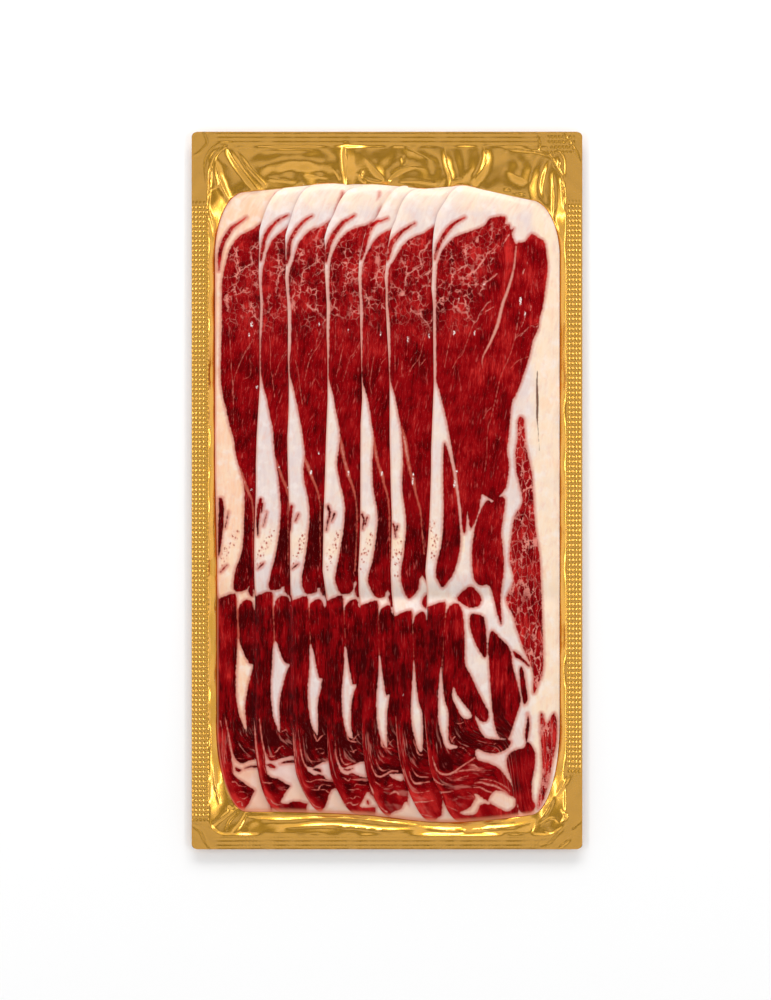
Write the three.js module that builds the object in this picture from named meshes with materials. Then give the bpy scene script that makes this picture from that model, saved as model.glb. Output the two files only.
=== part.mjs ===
// A sealed pack of cured shoulder ham, in millimetres, +Z up. It lies flat with its clear side up: X runs
// across it, Y along it, and the origin is the middle of its flat underside.
//
// Three kinds of piece: a gold foil tray with a flat sealed flange, seven long slices shingled from left to
// right, and one clear film that is sealed to the flange and drawn down over tray and slices.
// Every piece is a slab over one shared plan of points, so that stacked pieces never cross.
import * as THREE from "three";

// --- Driving dimensions -----------------------------------------------------------------------------
const PACK = { width: 147, length: 270, corner: 2 };
const POCKET = { width: 135, length: 260, corner: 7 };
const FOIL_THICKNESS = 0.5;
const FLANGE_TOP = 3.2;
const FILM_THICKNESS = 0.2;
const SLICE_THICKNESS = 1.0;
const GAP = 0.15; // clear space between pieces that lie on each other
const FOOT_GAP = 0.6; // from the slices' outline to the foot of the tray's wall

// The slices lie side by side like roof shingles. Each has the same long outline: straight flanks up to
// STRAIGHT from the middle, then ends that bend inwards by END_BEND.
const STRAIGHT = 88;
const END_BEND = 11;
const STEP_RUN = 1.5; // the film climbs each slice's edge within this distance

// Left edge of each slice above and below the joint between its two muscle groups, and its hidden right edge.
const SLICES = [
  { upper: -64.8, lower: -64.0, right: -16.2 },
  { upper: -48.0, lower: -49.5, right: -4.5 },
  { upper: -37.5, lower: -35.5, right: 9.2 },
  { upper: -22.5, lower: -22.6, right: 25.5 },
  { upper: -10.0, lower: -9.8, right: 37.5 },
  { upper: 1.0, lower: 2.6, right: 49.5 },
  { upper: 17.5, lower: 16.0, right: 65.0 },
];
const FILLER_COLUMNS = [-57, 57]; // extra columns in the two widest single layers

// The joint: the slices are thinner along this line.
const JOINT_Y = -40;
const JOINT_DIP = 0.3;
const JOINT_WIDTH = 4;

// Rows of the plan along the straight flanks, closer together at the joint.
const ROWS = [-88, -66, -46, -40, -34, -10, 15, 40, 65, 88];
const CORNER_STEPS = 6;
const END_THINNING = 0.45; // share of its thickness that a slice loses at its two ends
const FLANK_THINNING = 0.2; // and at the outermost left and right edges

// The slices' ends: how far they reach along Y, against X.
const HEAD_LINE = [
  [-54, 112.4], [-44, 113.4], [-21, 115.7], [-13, 114.2], [-6, 115.4],
  [8, 114.3], [20, 113.2], [28, 115.0], [38, 113.0], [54, 109.4],
];
const TAIL_LINE = [[-53, -121], [-35, -121.2], [-8, -122.2], [18, -124.9], [38, -124.2], [54, -122.3]];

// The tray's wall rises from its foot to the flange. WALL_RINGS are the shares of the way where it is drawn.
const WALL_RINGS = [0, 0.35, 0.7];
// Pleats where the foil is gathered: from the foot of the wall to the flange, their height and half width.
const PLEATS = [
  { foot: [-13, 114], edge: [-14.5, 130], height: 1.3, width: 4 },
  { foot: [18, 113], edge: [23.5, 130], height: 1.1, width: 4 },
  { foot: [33, 114], edge: [37, 130], height: 0.9, width: 4 },
  { foot: [-49, 113], edge: [-60.5, 130], height: 1.2, width: 4 },
  { foot: [-60, 109], edge: [-66, 124], height: 0.9, width: 3 },
  { foot: [55, 110], edge: [61, 127], height: 1.0, width: 4 },
  { foot: [-60, -116], edge: [-66, -127], height: 0.7, width: 3 },
  { foot: [58, -118], edge: [65, -127], height: 0.8, width: 3 },
];

const GOLD = new THREE.MeshStandardMaterial({ name: "gold_foil", color: 0xc8953a, metalness: 0.9, roughness: 0.28 });
const HAM = new THREE.MeshStandardMaterial({ name: "cured_ham", color: 0x8f1c1f, metalness: 0, roughness: 0.4 });
const CLEAR = new THREE.MeshStandardMaterial({
  name: "clear_film", color: 0xffffff, metalness: 0, roughness: 0.08, transparent: true, opacity: 0.18,
});

const { clamp, lerp, smoothstep } = THREE.MathUtils;

// --- The plan: a grid over the slices, and rings from its rim out to the edge of the pack ---------------
// A smooth line through [x, y] pairs, read as y against x.
function lineThrough(pairs) {
  const curve = new THREE.SplineCurve(pairs.map(([x, y]) => new THREE.Vector2(x, y)));
  const samples = curve.getPoints(pairs.length * 12);
  return (x) => {
    const after = samples.findIndex((p) => p.x >= x);
    if (after === 0) return samples[0].y;
    if (after < 0) return samples[samples.length - 1].y;
    const a = samples[after - 1];
    const b = samples[after];
    return lerp(a.y, b.y, (x - a.x) / (b.x - a.x));
  };
}
const headY = lineThrough(HEAD_LINE);
const tailY = lineThrough(TAIL_LINE);

// Columns of the grid: both edges of each slice, a column just left of each edge that climbs, and fillers.
const columns = FILLER_COLUMNS.map((x) => ({ upper: x, lower: x }));
SLICES.forEach(({ upper, lower, right }, k) => {
  columns.push({ upper, lower, leftOf: k }, { upper: right, lower: right, rightOf: k });
  if (k > 0) columns.push({ upper: upper - STEP_RUN, lower: lower - STEP_RUN });
});
columns.sort((a, b) => a.upper - b.upper);
const columnCount = columns.length;

// Rows: the straight ones, and the steps round the bends at the foot and the head.
const cornerAngles = Array.from({ length: CORNER_STEPS }, (_, s) => ((s + 1) / CORNER_STEPS) * (Math.PI / 2));
const rows = [
  ...cornerAngles.map((angle, s) => ({ end: -1, step: s + 1, angle })).reverse(),
  ...ROWS.map((y) => ({ end: 0, y })),
  ...cornerAngles.map((angle, s) => ({ end: 1, step: s + 1, angle })),
];
const rowCount = rows.length;

// How far a column bends inwards at the slices' ends: to the right up to the last slice's left edge, then
// less and less, and to the left at the outer right edge.
const lastLeft = SLICES[SLICES.length - 1].upper;
const outerRight = SLICES[SLICES.length - 1].right;
const bendOf = (x) => END_BEND * (1 - 2 * clamp((x - lastLeft) / (outerRight - lastLeft), 0, 1));

function gridPoint(column, row) {
  if (row.end === 0) {
    const share = smoothstep(row.y, -34, 15);
    return new THREE.Vector2(lerp(column.lower, column.upper, share), row.y);
  }
  const side = row.end > 0 ? column.upper : column.lower;
  const bend = bendOf(column.upper);
  const reach = row.end > 0 ? headY(side + bend) : tailY(side + bend);
  const flankEnd = row.end * STRAIGHT;
  return new THREE.Vector2(
    side + bend * (1 - Math.cos(row.angle)),
    flankEnd + (reach - flankEnd) * Math.sin(row.angle),
  );
}

const plan = [];
const cell = (i, j) => j * columnCount + i;
rows.forEach((row) => columns.forEach((column) => plan.push(gridPoint(column, row))));

// The rim of the grid, anticlockwise from the bottom left.
const rim = [];
for (let i = 0; i < columnCount; i++) rim.push([i, 0]);
for (let j = 1; j < rowCount; j++) rim.push([columnCount - 1, j]);
for (let i = columnCount - 2; i >= 0; i--) rim.push([i, rowCount - 1]);
for (let j = rowCount - 2; j > 0; j--) rim.push([0, j]);

// The point of a round-cornered frame that belongs to a rim point of the grid. The first half of the corner
// steps runs straight up to the frame's corner, and the second half goes round it.
function framePoint(frame, [i, j]) {
  const halfWidth = frame.width / 2;
  const halfLength = frame.length / 2;
  const row = rows[j];
  if (j === 0 || j === rowCount - 1) {
    const first = plan[cell(0, j)].x;
    const last = plan[cell(columnCount - 1, j)].x;
    const share = (plan[cell(i, j)].x - first) / (last - first);
    const reach = halfWidth - frame.corner;
    return new THREE.Vector2(lerp(-reach, reach, share), row.end * halfLength);
  }
  const side = i === 0 ? -1 : 1;
  if (row.end === 0) return new THREE.Vector2(side * halfWidth, row.y);
  const half = CORNER_STEPS / 2;
  const flankEnd = halfLength - frame.corner;
  if (row.step <= half) {
    return new THREE.Vector2(side * halfWidth, row.end * lerp(STRAIGHT, flankEnd, row.step / half));
  }
  const angle = ((row.step - half) / half) * (Math.PI / 2);
  return new THREE.Vector2(
    side * (halfWidth - frame.corner * (1 - Math.cos(angle))),
    row.end * (flankEnd + frame.corner * Math.sin(angle)),
  );
}

const rimCells = rim.map(([i, j]) => cell(i, j));
const pocketEdge = rim.map((spot) => framePoint(POCKET, spot));
const packEdge = rim.map((spot) => framePoint(PACK, spot));
const wallFoot = rimCells.map((p, n) => {
  const outward = pocketEdge[n].clone().sub(plan[p]).setLength(FOOT_GAP);
  return plan[p].clone().add(outward);
});

const addRing = (points) => points.map((point) => plan.push(point) - 1);
const wallRings = WALL_RINGS.map((share) => addRing(wallFoot.map((p, n) => p.clone().lerp(pocketEdge[n], share))));
const rings = [rimCells, ...wallRings, addRing(pocketEdge), addRing(packEdge)];

// --- Triangles over the plan, anticlockwise seen from above --------------------------------------------
function gridTriangles(firstColumn, lastColumn) {
  const triangles = [];
  for (let j = 0; j < rowCount - 1; j++) {
    for (let i = firstColumn; i < lastColumn; i++) {
      const [a, b, c, d] = [cell(i, j), cell(i + 1, j), cell(i + 1, j + 1), cell(i, j + 1)];
      triangles.push([a, b, c], [a, c, d]);
    }
  }
  return triangles;
}

function ringTriangles(firstRing, lastRing) {
  const triangles = [];
  for (let r = firstRing; r < lastRing; r++) {
    const [inner, outer] = [rings[r], rings[r + 1]];
    inner.forEach((a, n) => {
      const next = (n + 1) % inner.length;
      triangles.push([a, outer[n], outer[next]], [a, outer[next], inner[next]]);
    });
  }
  return triangles;
}

function floorTriangles(ring) {
  const faces = THREE.ShapeUtils.triangulateShape(ring.map((p) => plan[p]), []);
  return faces.map((face) => face.map((n) => ring[n]));
}

// --- Heights over the plan ---------------------------------------------------------------------------
// Height that the pleats add at a share of the way up the wall.
function pleatHeight(point, share) {
  const rise = Math.sin(Math.PI * share);
  return PLEATS.reduce((sum, { foot, edge, height, width }) => {
    const start = new THREE.Vector2(...foot);
    const along = new THREE.Vector2(...edge).sub(start);
    const way = point.clone().sub(start);
    const t = clamp(way.dot(along) / along.lengthSq(), 0, 1);
    const distance = way.sub(along.multiplyScalar(t)).length();
    return sum + height * rise * Math.exp(-((distance / width) ** 2));
  }, 0);
}

const trayTop = new Array(plan.length).fill(FOIL_THICKNESS);
WALL_RINGS.forEach((share, w) => {
  wallRings[w].forEach((p) => {
    const wall = lerp(FOIL_THICKNESS, FLANGE_TOP, smoothstep(share, 0, 1));
    trayTop[p] = Math.min(wall + pleatHeight(plan[p], share), FLANGE_TOP);
  });
});
rings.slice(-2).forEach((ring) => ring.forEach((p) => (trayTop[p] = FLANGE_TOP)));

// A slice is thinner at its ends, at the pack's left and right edges and along the joint.
function sliceThickness(i, j) {
  const row = rows[j];
  const bent = row.end === 0 ? 0 : (1 - Math.cos(row.angle)) ** 2;
  const flank = i === 0 || i === columnCount - 1 ? FLANK_THINNING : 0;
  const joint = JOINT_DIP * Math.exp(-(((plan[cell(i, j)].y - JOINT_Y) / JOINT_WIDTH) ** 2));
  return SLICE_THICKNESS * (1 - Math.max(END_THINNING * bent, flank)) - joint;
}

// --- Pieces --------------------------------------------------------------------------------------------
// A closed slab over triangles of the plan, between two heights given for each point.
function slab(name, triangles, lowerZ, upperZ, material) {
  const used = [...new Set(triangles.flat())];
  const order = new Map(used.map((p, n) => [p, n]));
  const low = (p) => order.get(p);
  const high = (p) => order.get(p) + used.length;
  const faces = [];
  const edges = new Set();
  for (const [a, b, c] of triangles) {
    faces.push(high(a), high(b), high(c), low(c), low(b), low(a));
    edges.add(`${a} ${b}`).add(`${b} ${c}`).add(`${c} ${a}`);
  }
  for (const edge of edges) {
    const [a, b] = edge.split(" ").map(Number);
    if (!edges.has(`${b} ${a}`)) faces.push(low(a), low(b), high(b), low(a), high(b), high(a));
  }
  const corners = [
    ...used.flatMap((p) => [plan[p].x, plan[p].y, lowerZ(p)]),
    ...used.flatMap((p) => [plan[p].x, plan[p].y, upperZ(p)]),
  ];
  const geometry = new THREE.BufferGeometry();
  geometry.setAttribute("position", new THREE.Float32BufferAttribute(corners, 3));
  geometry.setIndex(faces);
  geometry.computeVertexNormals();
  const mesh = new THREE.Mesh(geometry, material);
  mesh.name = name;
  return mesh;
}

const pack = new THREE.Group();
pack.name = "cured_shoulder_ham_pack";

// The tray: its floor, its wall and its flange.
const tray = [...floorTriangles(rings[1]), ...ringTriangles(1, rings.length - 1)];
pack.add(slab("gold_tray", tray, (p) => trayTop[p] - FOIL_THICKNESS, (p) => trayTop[p], GOLD));

// The slices, from left to right, each laid on what is already there.
const stackTop = trayTop.slice();
SLICES.forEach((_, k) => {
  const first = columns.findIndex((column) => column.leftOf === k);
  const last = columns.findIndex((column) => column.rightOf === k);
  const under = new Map();
  for (let j = 0; j < rowCount; j++) {
    for (let i = first; i <= last; i++) {
      const p = cell(i, j);
      under.set(p, stackTop[p] + GAP);
      stackTop[p] += GAP + sliceThickness(i, j);
    }
  }
  const top = stackTop.slice();
  pack.add(slab(`ham_slice_${k + 1}`, gridTriangles(first, last), (p) => under.get(p), (p) => top[p], HAM));
});

// The film over everything, out to the edge of the flange.
const skin = [...gridTriangles(0, columnCount - 1), ...ringTriangles(0, rings.length - 1)];
pack.add(slab("clear_film", skin, (p) => stackTop[p] + GAP, (p) => stackTop[p] + GAP + FILM_THICKNESS, CLEAR));

export default pack;
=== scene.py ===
import math

import bpy
import numpy as np
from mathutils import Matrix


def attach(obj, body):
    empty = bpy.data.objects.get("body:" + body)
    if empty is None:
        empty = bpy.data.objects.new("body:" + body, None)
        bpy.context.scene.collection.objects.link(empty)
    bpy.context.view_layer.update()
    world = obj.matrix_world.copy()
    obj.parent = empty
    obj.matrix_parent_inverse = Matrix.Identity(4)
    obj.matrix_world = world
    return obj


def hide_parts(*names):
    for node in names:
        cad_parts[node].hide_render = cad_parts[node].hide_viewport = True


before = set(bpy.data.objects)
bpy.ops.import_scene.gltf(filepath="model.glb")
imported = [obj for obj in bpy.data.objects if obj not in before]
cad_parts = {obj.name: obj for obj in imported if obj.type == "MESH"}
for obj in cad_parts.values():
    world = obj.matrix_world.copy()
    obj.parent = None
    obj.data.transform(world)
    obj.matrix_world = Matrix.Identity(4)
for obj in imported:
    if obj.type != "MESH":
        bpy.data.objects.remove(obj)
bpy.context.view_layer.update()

# --- Driving dimensions, as in the solids ---------------------------------------------------------------
PACK_WIDTH, PACK_LENGTH, PACK_CORNER = 147.0, 270.0, 2.0
POCKET_WIDTH, POCKET_LENGTH, POCKET_CORNER = 135.0, 260.0, 7.0
FOIL_THICKNESS = 0.5
FLANGE_TOP = 3.2
SLICE_THICKNESS = 1.0
GAP = 0.15
STRAIGHT = 88.0
END_BEND = 11.0
JOINT_Y, JOINT_DIP, JOINT_WIDTH = -40.0, 0.3, 4.0
END_THINNING = 0.45
TOP_OF_PACK = 5.4  # nothing of the visual model stands higher
EDGE_SHARE, EDGE_ROUNDING = 0.4, 2.2  # a slice is this thin at its outline, and full this far inside it
RUN_OUT = 12.0  # width over which a slice's hidden right edge runs out
SLICE_BLUR = 0.7  # a slice bridges hollows narrower than this
FILM_REACH, FILM_BLUR, FILM_LIFT = 0.5, 0.7, 0.2  # how far the film bridges, is smoothed and stands off

# Left edge of each slice above and below the joint between its muscle groups, and its hidden right edge.
SLICES = [
    (-64.8, -64.0, -16.2), (-48.0, -49.5, -4.5), (-37.5, -35.5, 9.2), (-22.5, -22.6, 25.5),
    (-10.0, -9.8, 37.5), (1.0, 2.6, 49.5), (17.5, 16.0, 65.0),
]
HEAD_LINE = [(-54, 112.4), (-44, 113.4), (-21, 115.7), (-13, 114.2), (-6, 115.4),
             (8, 114.3), (20, 113.2), (28, 115.0), (38, 113.0), (54, 109.4)]
TAIL_LINE = [(-53, -121), (-35, -121.2), (-8, -122.2), (18, -124.9), (38, -124.2), (54, -122.3)]

MM = 0.001


# --- Small maths ----------------------------------------------------------------------------------------
def smoothstep(t):
    t = np.clip(t, 0.0, 1.0)
    return t * t * (3 - 2 * t)


def mix(a, b, t):
    return a + (b - a) * t


def curve_through(points, per_span=8):
    """Points on a smooth curve through the given ones."""
    p = np.array(points, float)
    p = np.vstack([2 * p[0] - p[1], p, 2 * p[-1] - p[-2]])
    t = np.linspace(0, 1, per_span, endpoint=False)[:, None]
    spans = [
        0.5 * (2 * b + (c - a) * t + (2 * a - 5 * b + 4 * c - d) * t**2 + (3 * b - a - 3 * c + d) * t**3)
        for a, b, c, d in zip(p, p[1:], p[2:], p[3:])
    ]
    return np.vstack(spans + [p[-2:-1]])


def line_through(pairs):
    """y against x on a smooth curve through (x, y) pairs."""
    curve = curve_through(pairs, 12)
    return lambda x: np.interp(x, curve[:, 0], curve[:, 1])


def segment_distance(x, y, a, b):
    """Distance to the segment a-b, and the share of the way along it."""
    dx, dy = b[0] - a[0], b[1] - a[1]
    t = np.clip(((x - a[0]) * dx + (y - a[1]) * dy) / max(dx * dx + dy * dy, 1e-12), 0, 1)
    return np.hypot(x - a[0] - t * dx, y - a[1] - t * dy), t


def inside_distance(x, y, outline):
    """Distance to a closed outline, positive inside it."""
    nearest = np.full(np.shape(x), 1e9)
    inside = np.zeros(np.shape(x), bool)
    for a, b in zip(outline, np.roll(outline, -1, axis=0)):
        nearest = np.minimum(nearest, segment_distance(x, y, a, b)[0])
        crosses = (a[1] > y) != (b[1] > y)
        at = a[0] + (y - a[1]) * (b[0] - a[0]) / (b[1] - a[1] if b[1] != a[1] else 1e-9)
        inside ^= crosses & (x < at)
    return np.where(inside, nearest, -nearest)


def frame_distance(x, y, width, length, corner):
    """Distance to a round-cornered rectangle about the origin, positive inside it."""
    qx, qy = np.abs(x) - width / 2 + corner, np.abs(y) - length / 2 + corner
    return -(np.hypot(np.maximum(qx, 0), np.maximum(qy, 0)) + np.minimum(np.maximum(qx, qy), 0) - corner)


# --- Height maps: one value for each cell of a raster over the pack ---------------------------------------
CELL = 0.5
RASTER_X = np.arange(-75, 75 + CELL / 2, CELL)
RASTER_Y = np.arange(-136.5, 136.5 + CELL / 2, CELL)
GRID_X, GRID_Y = np.meshgrid(RASTER_X, RASTER_Y)


def shifted(raster, dx, dy):
    rows = np.clip(np.arange(raster.shape[0]) + dy, 0, raster.shape[0] - 1)
    columns = np.clip(np.arange(raster.shape[1]) + dx, 0, raster.shape[1] - 1)
    return raster[rows][:, columns]


def dilated(raster, radius):
    reach = round(radius / CELL)
    for axis in ((1, 0), (0, 1)):
        raster = np.max([shifted(raster, axis[0] * s, axis[1] * s) for s in range(-reach, reach + 1)], axis=0)
    return raster


def blurred(raster, sigma):
    steps = np.arange(-math.ceil(3 * sigma / CELL), math.ceil(3 * sigma / CELL) + 1)
    weights = np.exp(-((steps * CELL / sigma) ** 2) / 2)
    weights /= weights.sum()
    for axis in ((1, 0), (0, 1)):
        raster = sum(w * shifted(raster, axis[0] * s, axis[1] * s) for s, w in zip(steps, weights))
    return raster


def sample(raster, x, y):
    """The raster's value at any points, straight between its cells."""
    u = np.clip((x - RASTER_X[0]) / CELL, 0, len(RASTER_X) - 1.001)
    v = np.clip((y - RASTER_Y[0]) / CELL, 0, len(RASTER_Y) - 1.001)
    i, j = u.astype(int), v.astype(int)
    u, v = u - i, v - j
    low = mix(raster[j, i], raster[j, i + 1], u)
    high = mix(raster[j + 1, i], raster[j + 1, i + 1], u)
    return mix(low, high, v)


# --- The slices' plan --------------------------------------------------------------------------------------
# Waves of each slice's left edge: how far it lies right of its plain line, as (y, shift) pairs.
EDGE_WAVES = [
    [(-122, 0), (112, 0)],
    [(-117, -1.3), (-106, -0.8), (-85, -0.5), (-60, -0.3), (-40, -0.2), (-30, -0.5), (-15, -0.9),
     (0, -1.05), (10, -1.35), (20, -1.1), (30, -0.5), (40, 0.1), (60, 0), (70, 0.4), (80, -0.3),
     (92, -0.15), (98, -0.85), (104, -0.55)],
    [(-117, 0.7), (-107, -0.5), (-90, 0), (-66, -1), (-50, -0.5), (-38, -0.8), (-28, -0.9), (-10, -0.1),
     (10, 0.1), (20, 0), (30, 0.5), (40, 0.6), (50, 0.2), (60, 0.3), (70, 0.1), (80, -0.8), (84, -0.5),
     (92, -0.8), (96, -1.2), (102, -0.3)],
    [(-114, 0.7), (-108, -0.5), (-90, 0.1), (-66, -0.4), (-46, 0), (-38, -0.5), (-30, -1.6), (-20, -1.4),
     (-10, -1.3), (5, -0.8), (20, -0.4), (35, 0.2), (50, 0.1), (60, -0.2), (70, -0.1), (80, -0.7),
     (86, -0.9), (91, -0.8), (95, -1.4), (100, -0.7), (104, 0.4)],
    [(-117, 0.8), (-105, 0.4), (-60, 0.3), (-45, -0.1), (-38, -0.8), (-30, -1), (-20, -0.4), (-10, -0.1),
     (25, 0.1), (35, 0.7), (50, 0.3), (60, 0), (70, -0.1), (80, -0.8), (87, -0.4), (92, 0.5), (96, 1),
     (99, 1.9), (102.3, 4.3), (106, 5), (112, 5.7)],
    [(-119, 3.2), (-110, 2.2), (-100, 1.3), (-92, 0.9), (-80, 0.4), (-60, 0), (-46, 0), (-38, -0.9),
     (-30, -1.2), (-20, -0.6), (-10, 0), (10, 0.25), (20, 0), (40, 0), (50, -0.4), (60, -1), (65, -1.2),
     (70, -1.5), (75, -1.4), (80, -1.9), (85, -1.3), (90, -1), (94, -0.5), (98, -0.2), (102, 0.6),
     (110, 0.4)],
    [(-113, 1.1), (-110, -0.2), (-104, -1.1), (-95, -1.2), (-83, -2), (-70, -1.5), (-45, -0.8), (-38, -0.9),
     (-30, -1.6), (-20, -0.9), (-10, -0.7), (0, -0.8), (15, -0.9), (25, -0.5), (40, 0.1), (60, -0.1),
     (70, -0.1), (76, -0.8), (85, -0.3), (94, -0.5), (104, -0.7), (109, 0.4)],
]
WAVE_REACH = 8.0  # the wave dies out this far right of the edge

head_y = line_through(HEAD_LINE)
tail_y = line_through(TAIL_LINE)
LAST_LEFT, OUTER_RIGHT = SLICES[-1][0], SLICES[-1][2]
SHARE_FROM, SHARE_TO = -34.0, 15.0  # the left edges go from their lower to their upper place between these


def is_last(k):
    """Whether a slice is the right one, which lies on top and is seen whole."""
    return k + 1 == len(SLICES)


def row_values(step):
    """Rows of the plan from tail to head: which end each is on (-1, 0, 1) and its place there."""
    straight = np.linspace(-STRAIGHT, STRAIGHT, round(2 * STRAIGHT / step) + 1)
    bent = 1 - np.linspace(1, 0, round(30 / step) + 1)[1:] ** 1.25
    ends = [-np.ones(len(bent)), np.zeros(len(straight)), np.ones(len(bent))]
    return np.concatenate(ends), np.concatenate([bent[::-1], straight, bent])


def plan(upper, lower, row_end, row_value):
    """Places of a grid of points: a column for each upper and lower x, a row for each row value."""
    upper, lower = np.atleast_1d(upper)[None, :], np.atleast_1d(lower)[None, :]
    end, value = row_end[:, None], row_value[:, None]
    flank = mix(lower, upper, smoothstep((value - SHARE_FROM) / (SHARE_TO - SHARE_FROM)))
    side = np.where(end > 0, upper, lower)
    bend = END_BEND * (1 - 2 * np.clip((upper - LAST_LEFT) / (OUTER_RIGHT - LAST_LEFT), 0, 1))
    reach = np.where(end > 0, head_y(side + bend), tail_y(side + bend))
    bent_x = side + bend * (1 - np.sqrt(np.clip(1 - value**2, 0, 1)))
    bent_y = end * STRAIGHT + (reach - end * STRAIGHT) * value
    return np.where(end == 0, flank, bent_x), np.where(end == 0, value, bent_y)


def slice_plan(k, share, end, value):
    """Places of a slice's points: share 0 is its waved left edge and 1 its right edge."""
    upper, lower, right = SLICES[k]
    share = np.atleast_1d(share)
    x, y = plan(mix(upper, right, share), mix(lower, right, share), end, value)
    wave = np.interp(y, *zip(*EDGE_WAVES[k]))
    fade = 1 - smoothstep(share * (right - upper) / WAVE_REACH)
    return x + wave * fade, y


def left_edge(k, y):
    """x of a slice's left edge against y."""
    end, value = row_values(1.0)
    edge_x, edge_y = slice_plan(k, 0.0, end, value)
    return np.interp(y, edge_y.ravel(), edge_x.ravel())


def slice_outline(first, last):
    """Outline of the slices from first to last, anticlockwise."""
    end, value = row_values(2.0)
    left = slice_plan(first, 0.0, end, value)
    right = slice_plan(last, 1.0, end, value)
    across = np.linspace(0, 1, 30)[1:-1]
    upper = mix(SLICES[first][0], SLICES[last][2], across)
    lower = mix(SLICES[first][1], SLICES[last][2], across)
    head = plan(upper, lower, np.ones(1), np.ones(1))
    tail = plan(upper, lower, -np.ones(1), np.ones(1))
    sides = [np.column_stack([s[0].ravel(), s[1].ravel()]) for s in (tail, right, head, left)]
    return np.vstack([sides[0], sides[1], sides[2][::-1], sides[3][::-1]])


MEAT_OUTLINE = slice_outline(0, len(SLICES) - 1)


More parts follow.
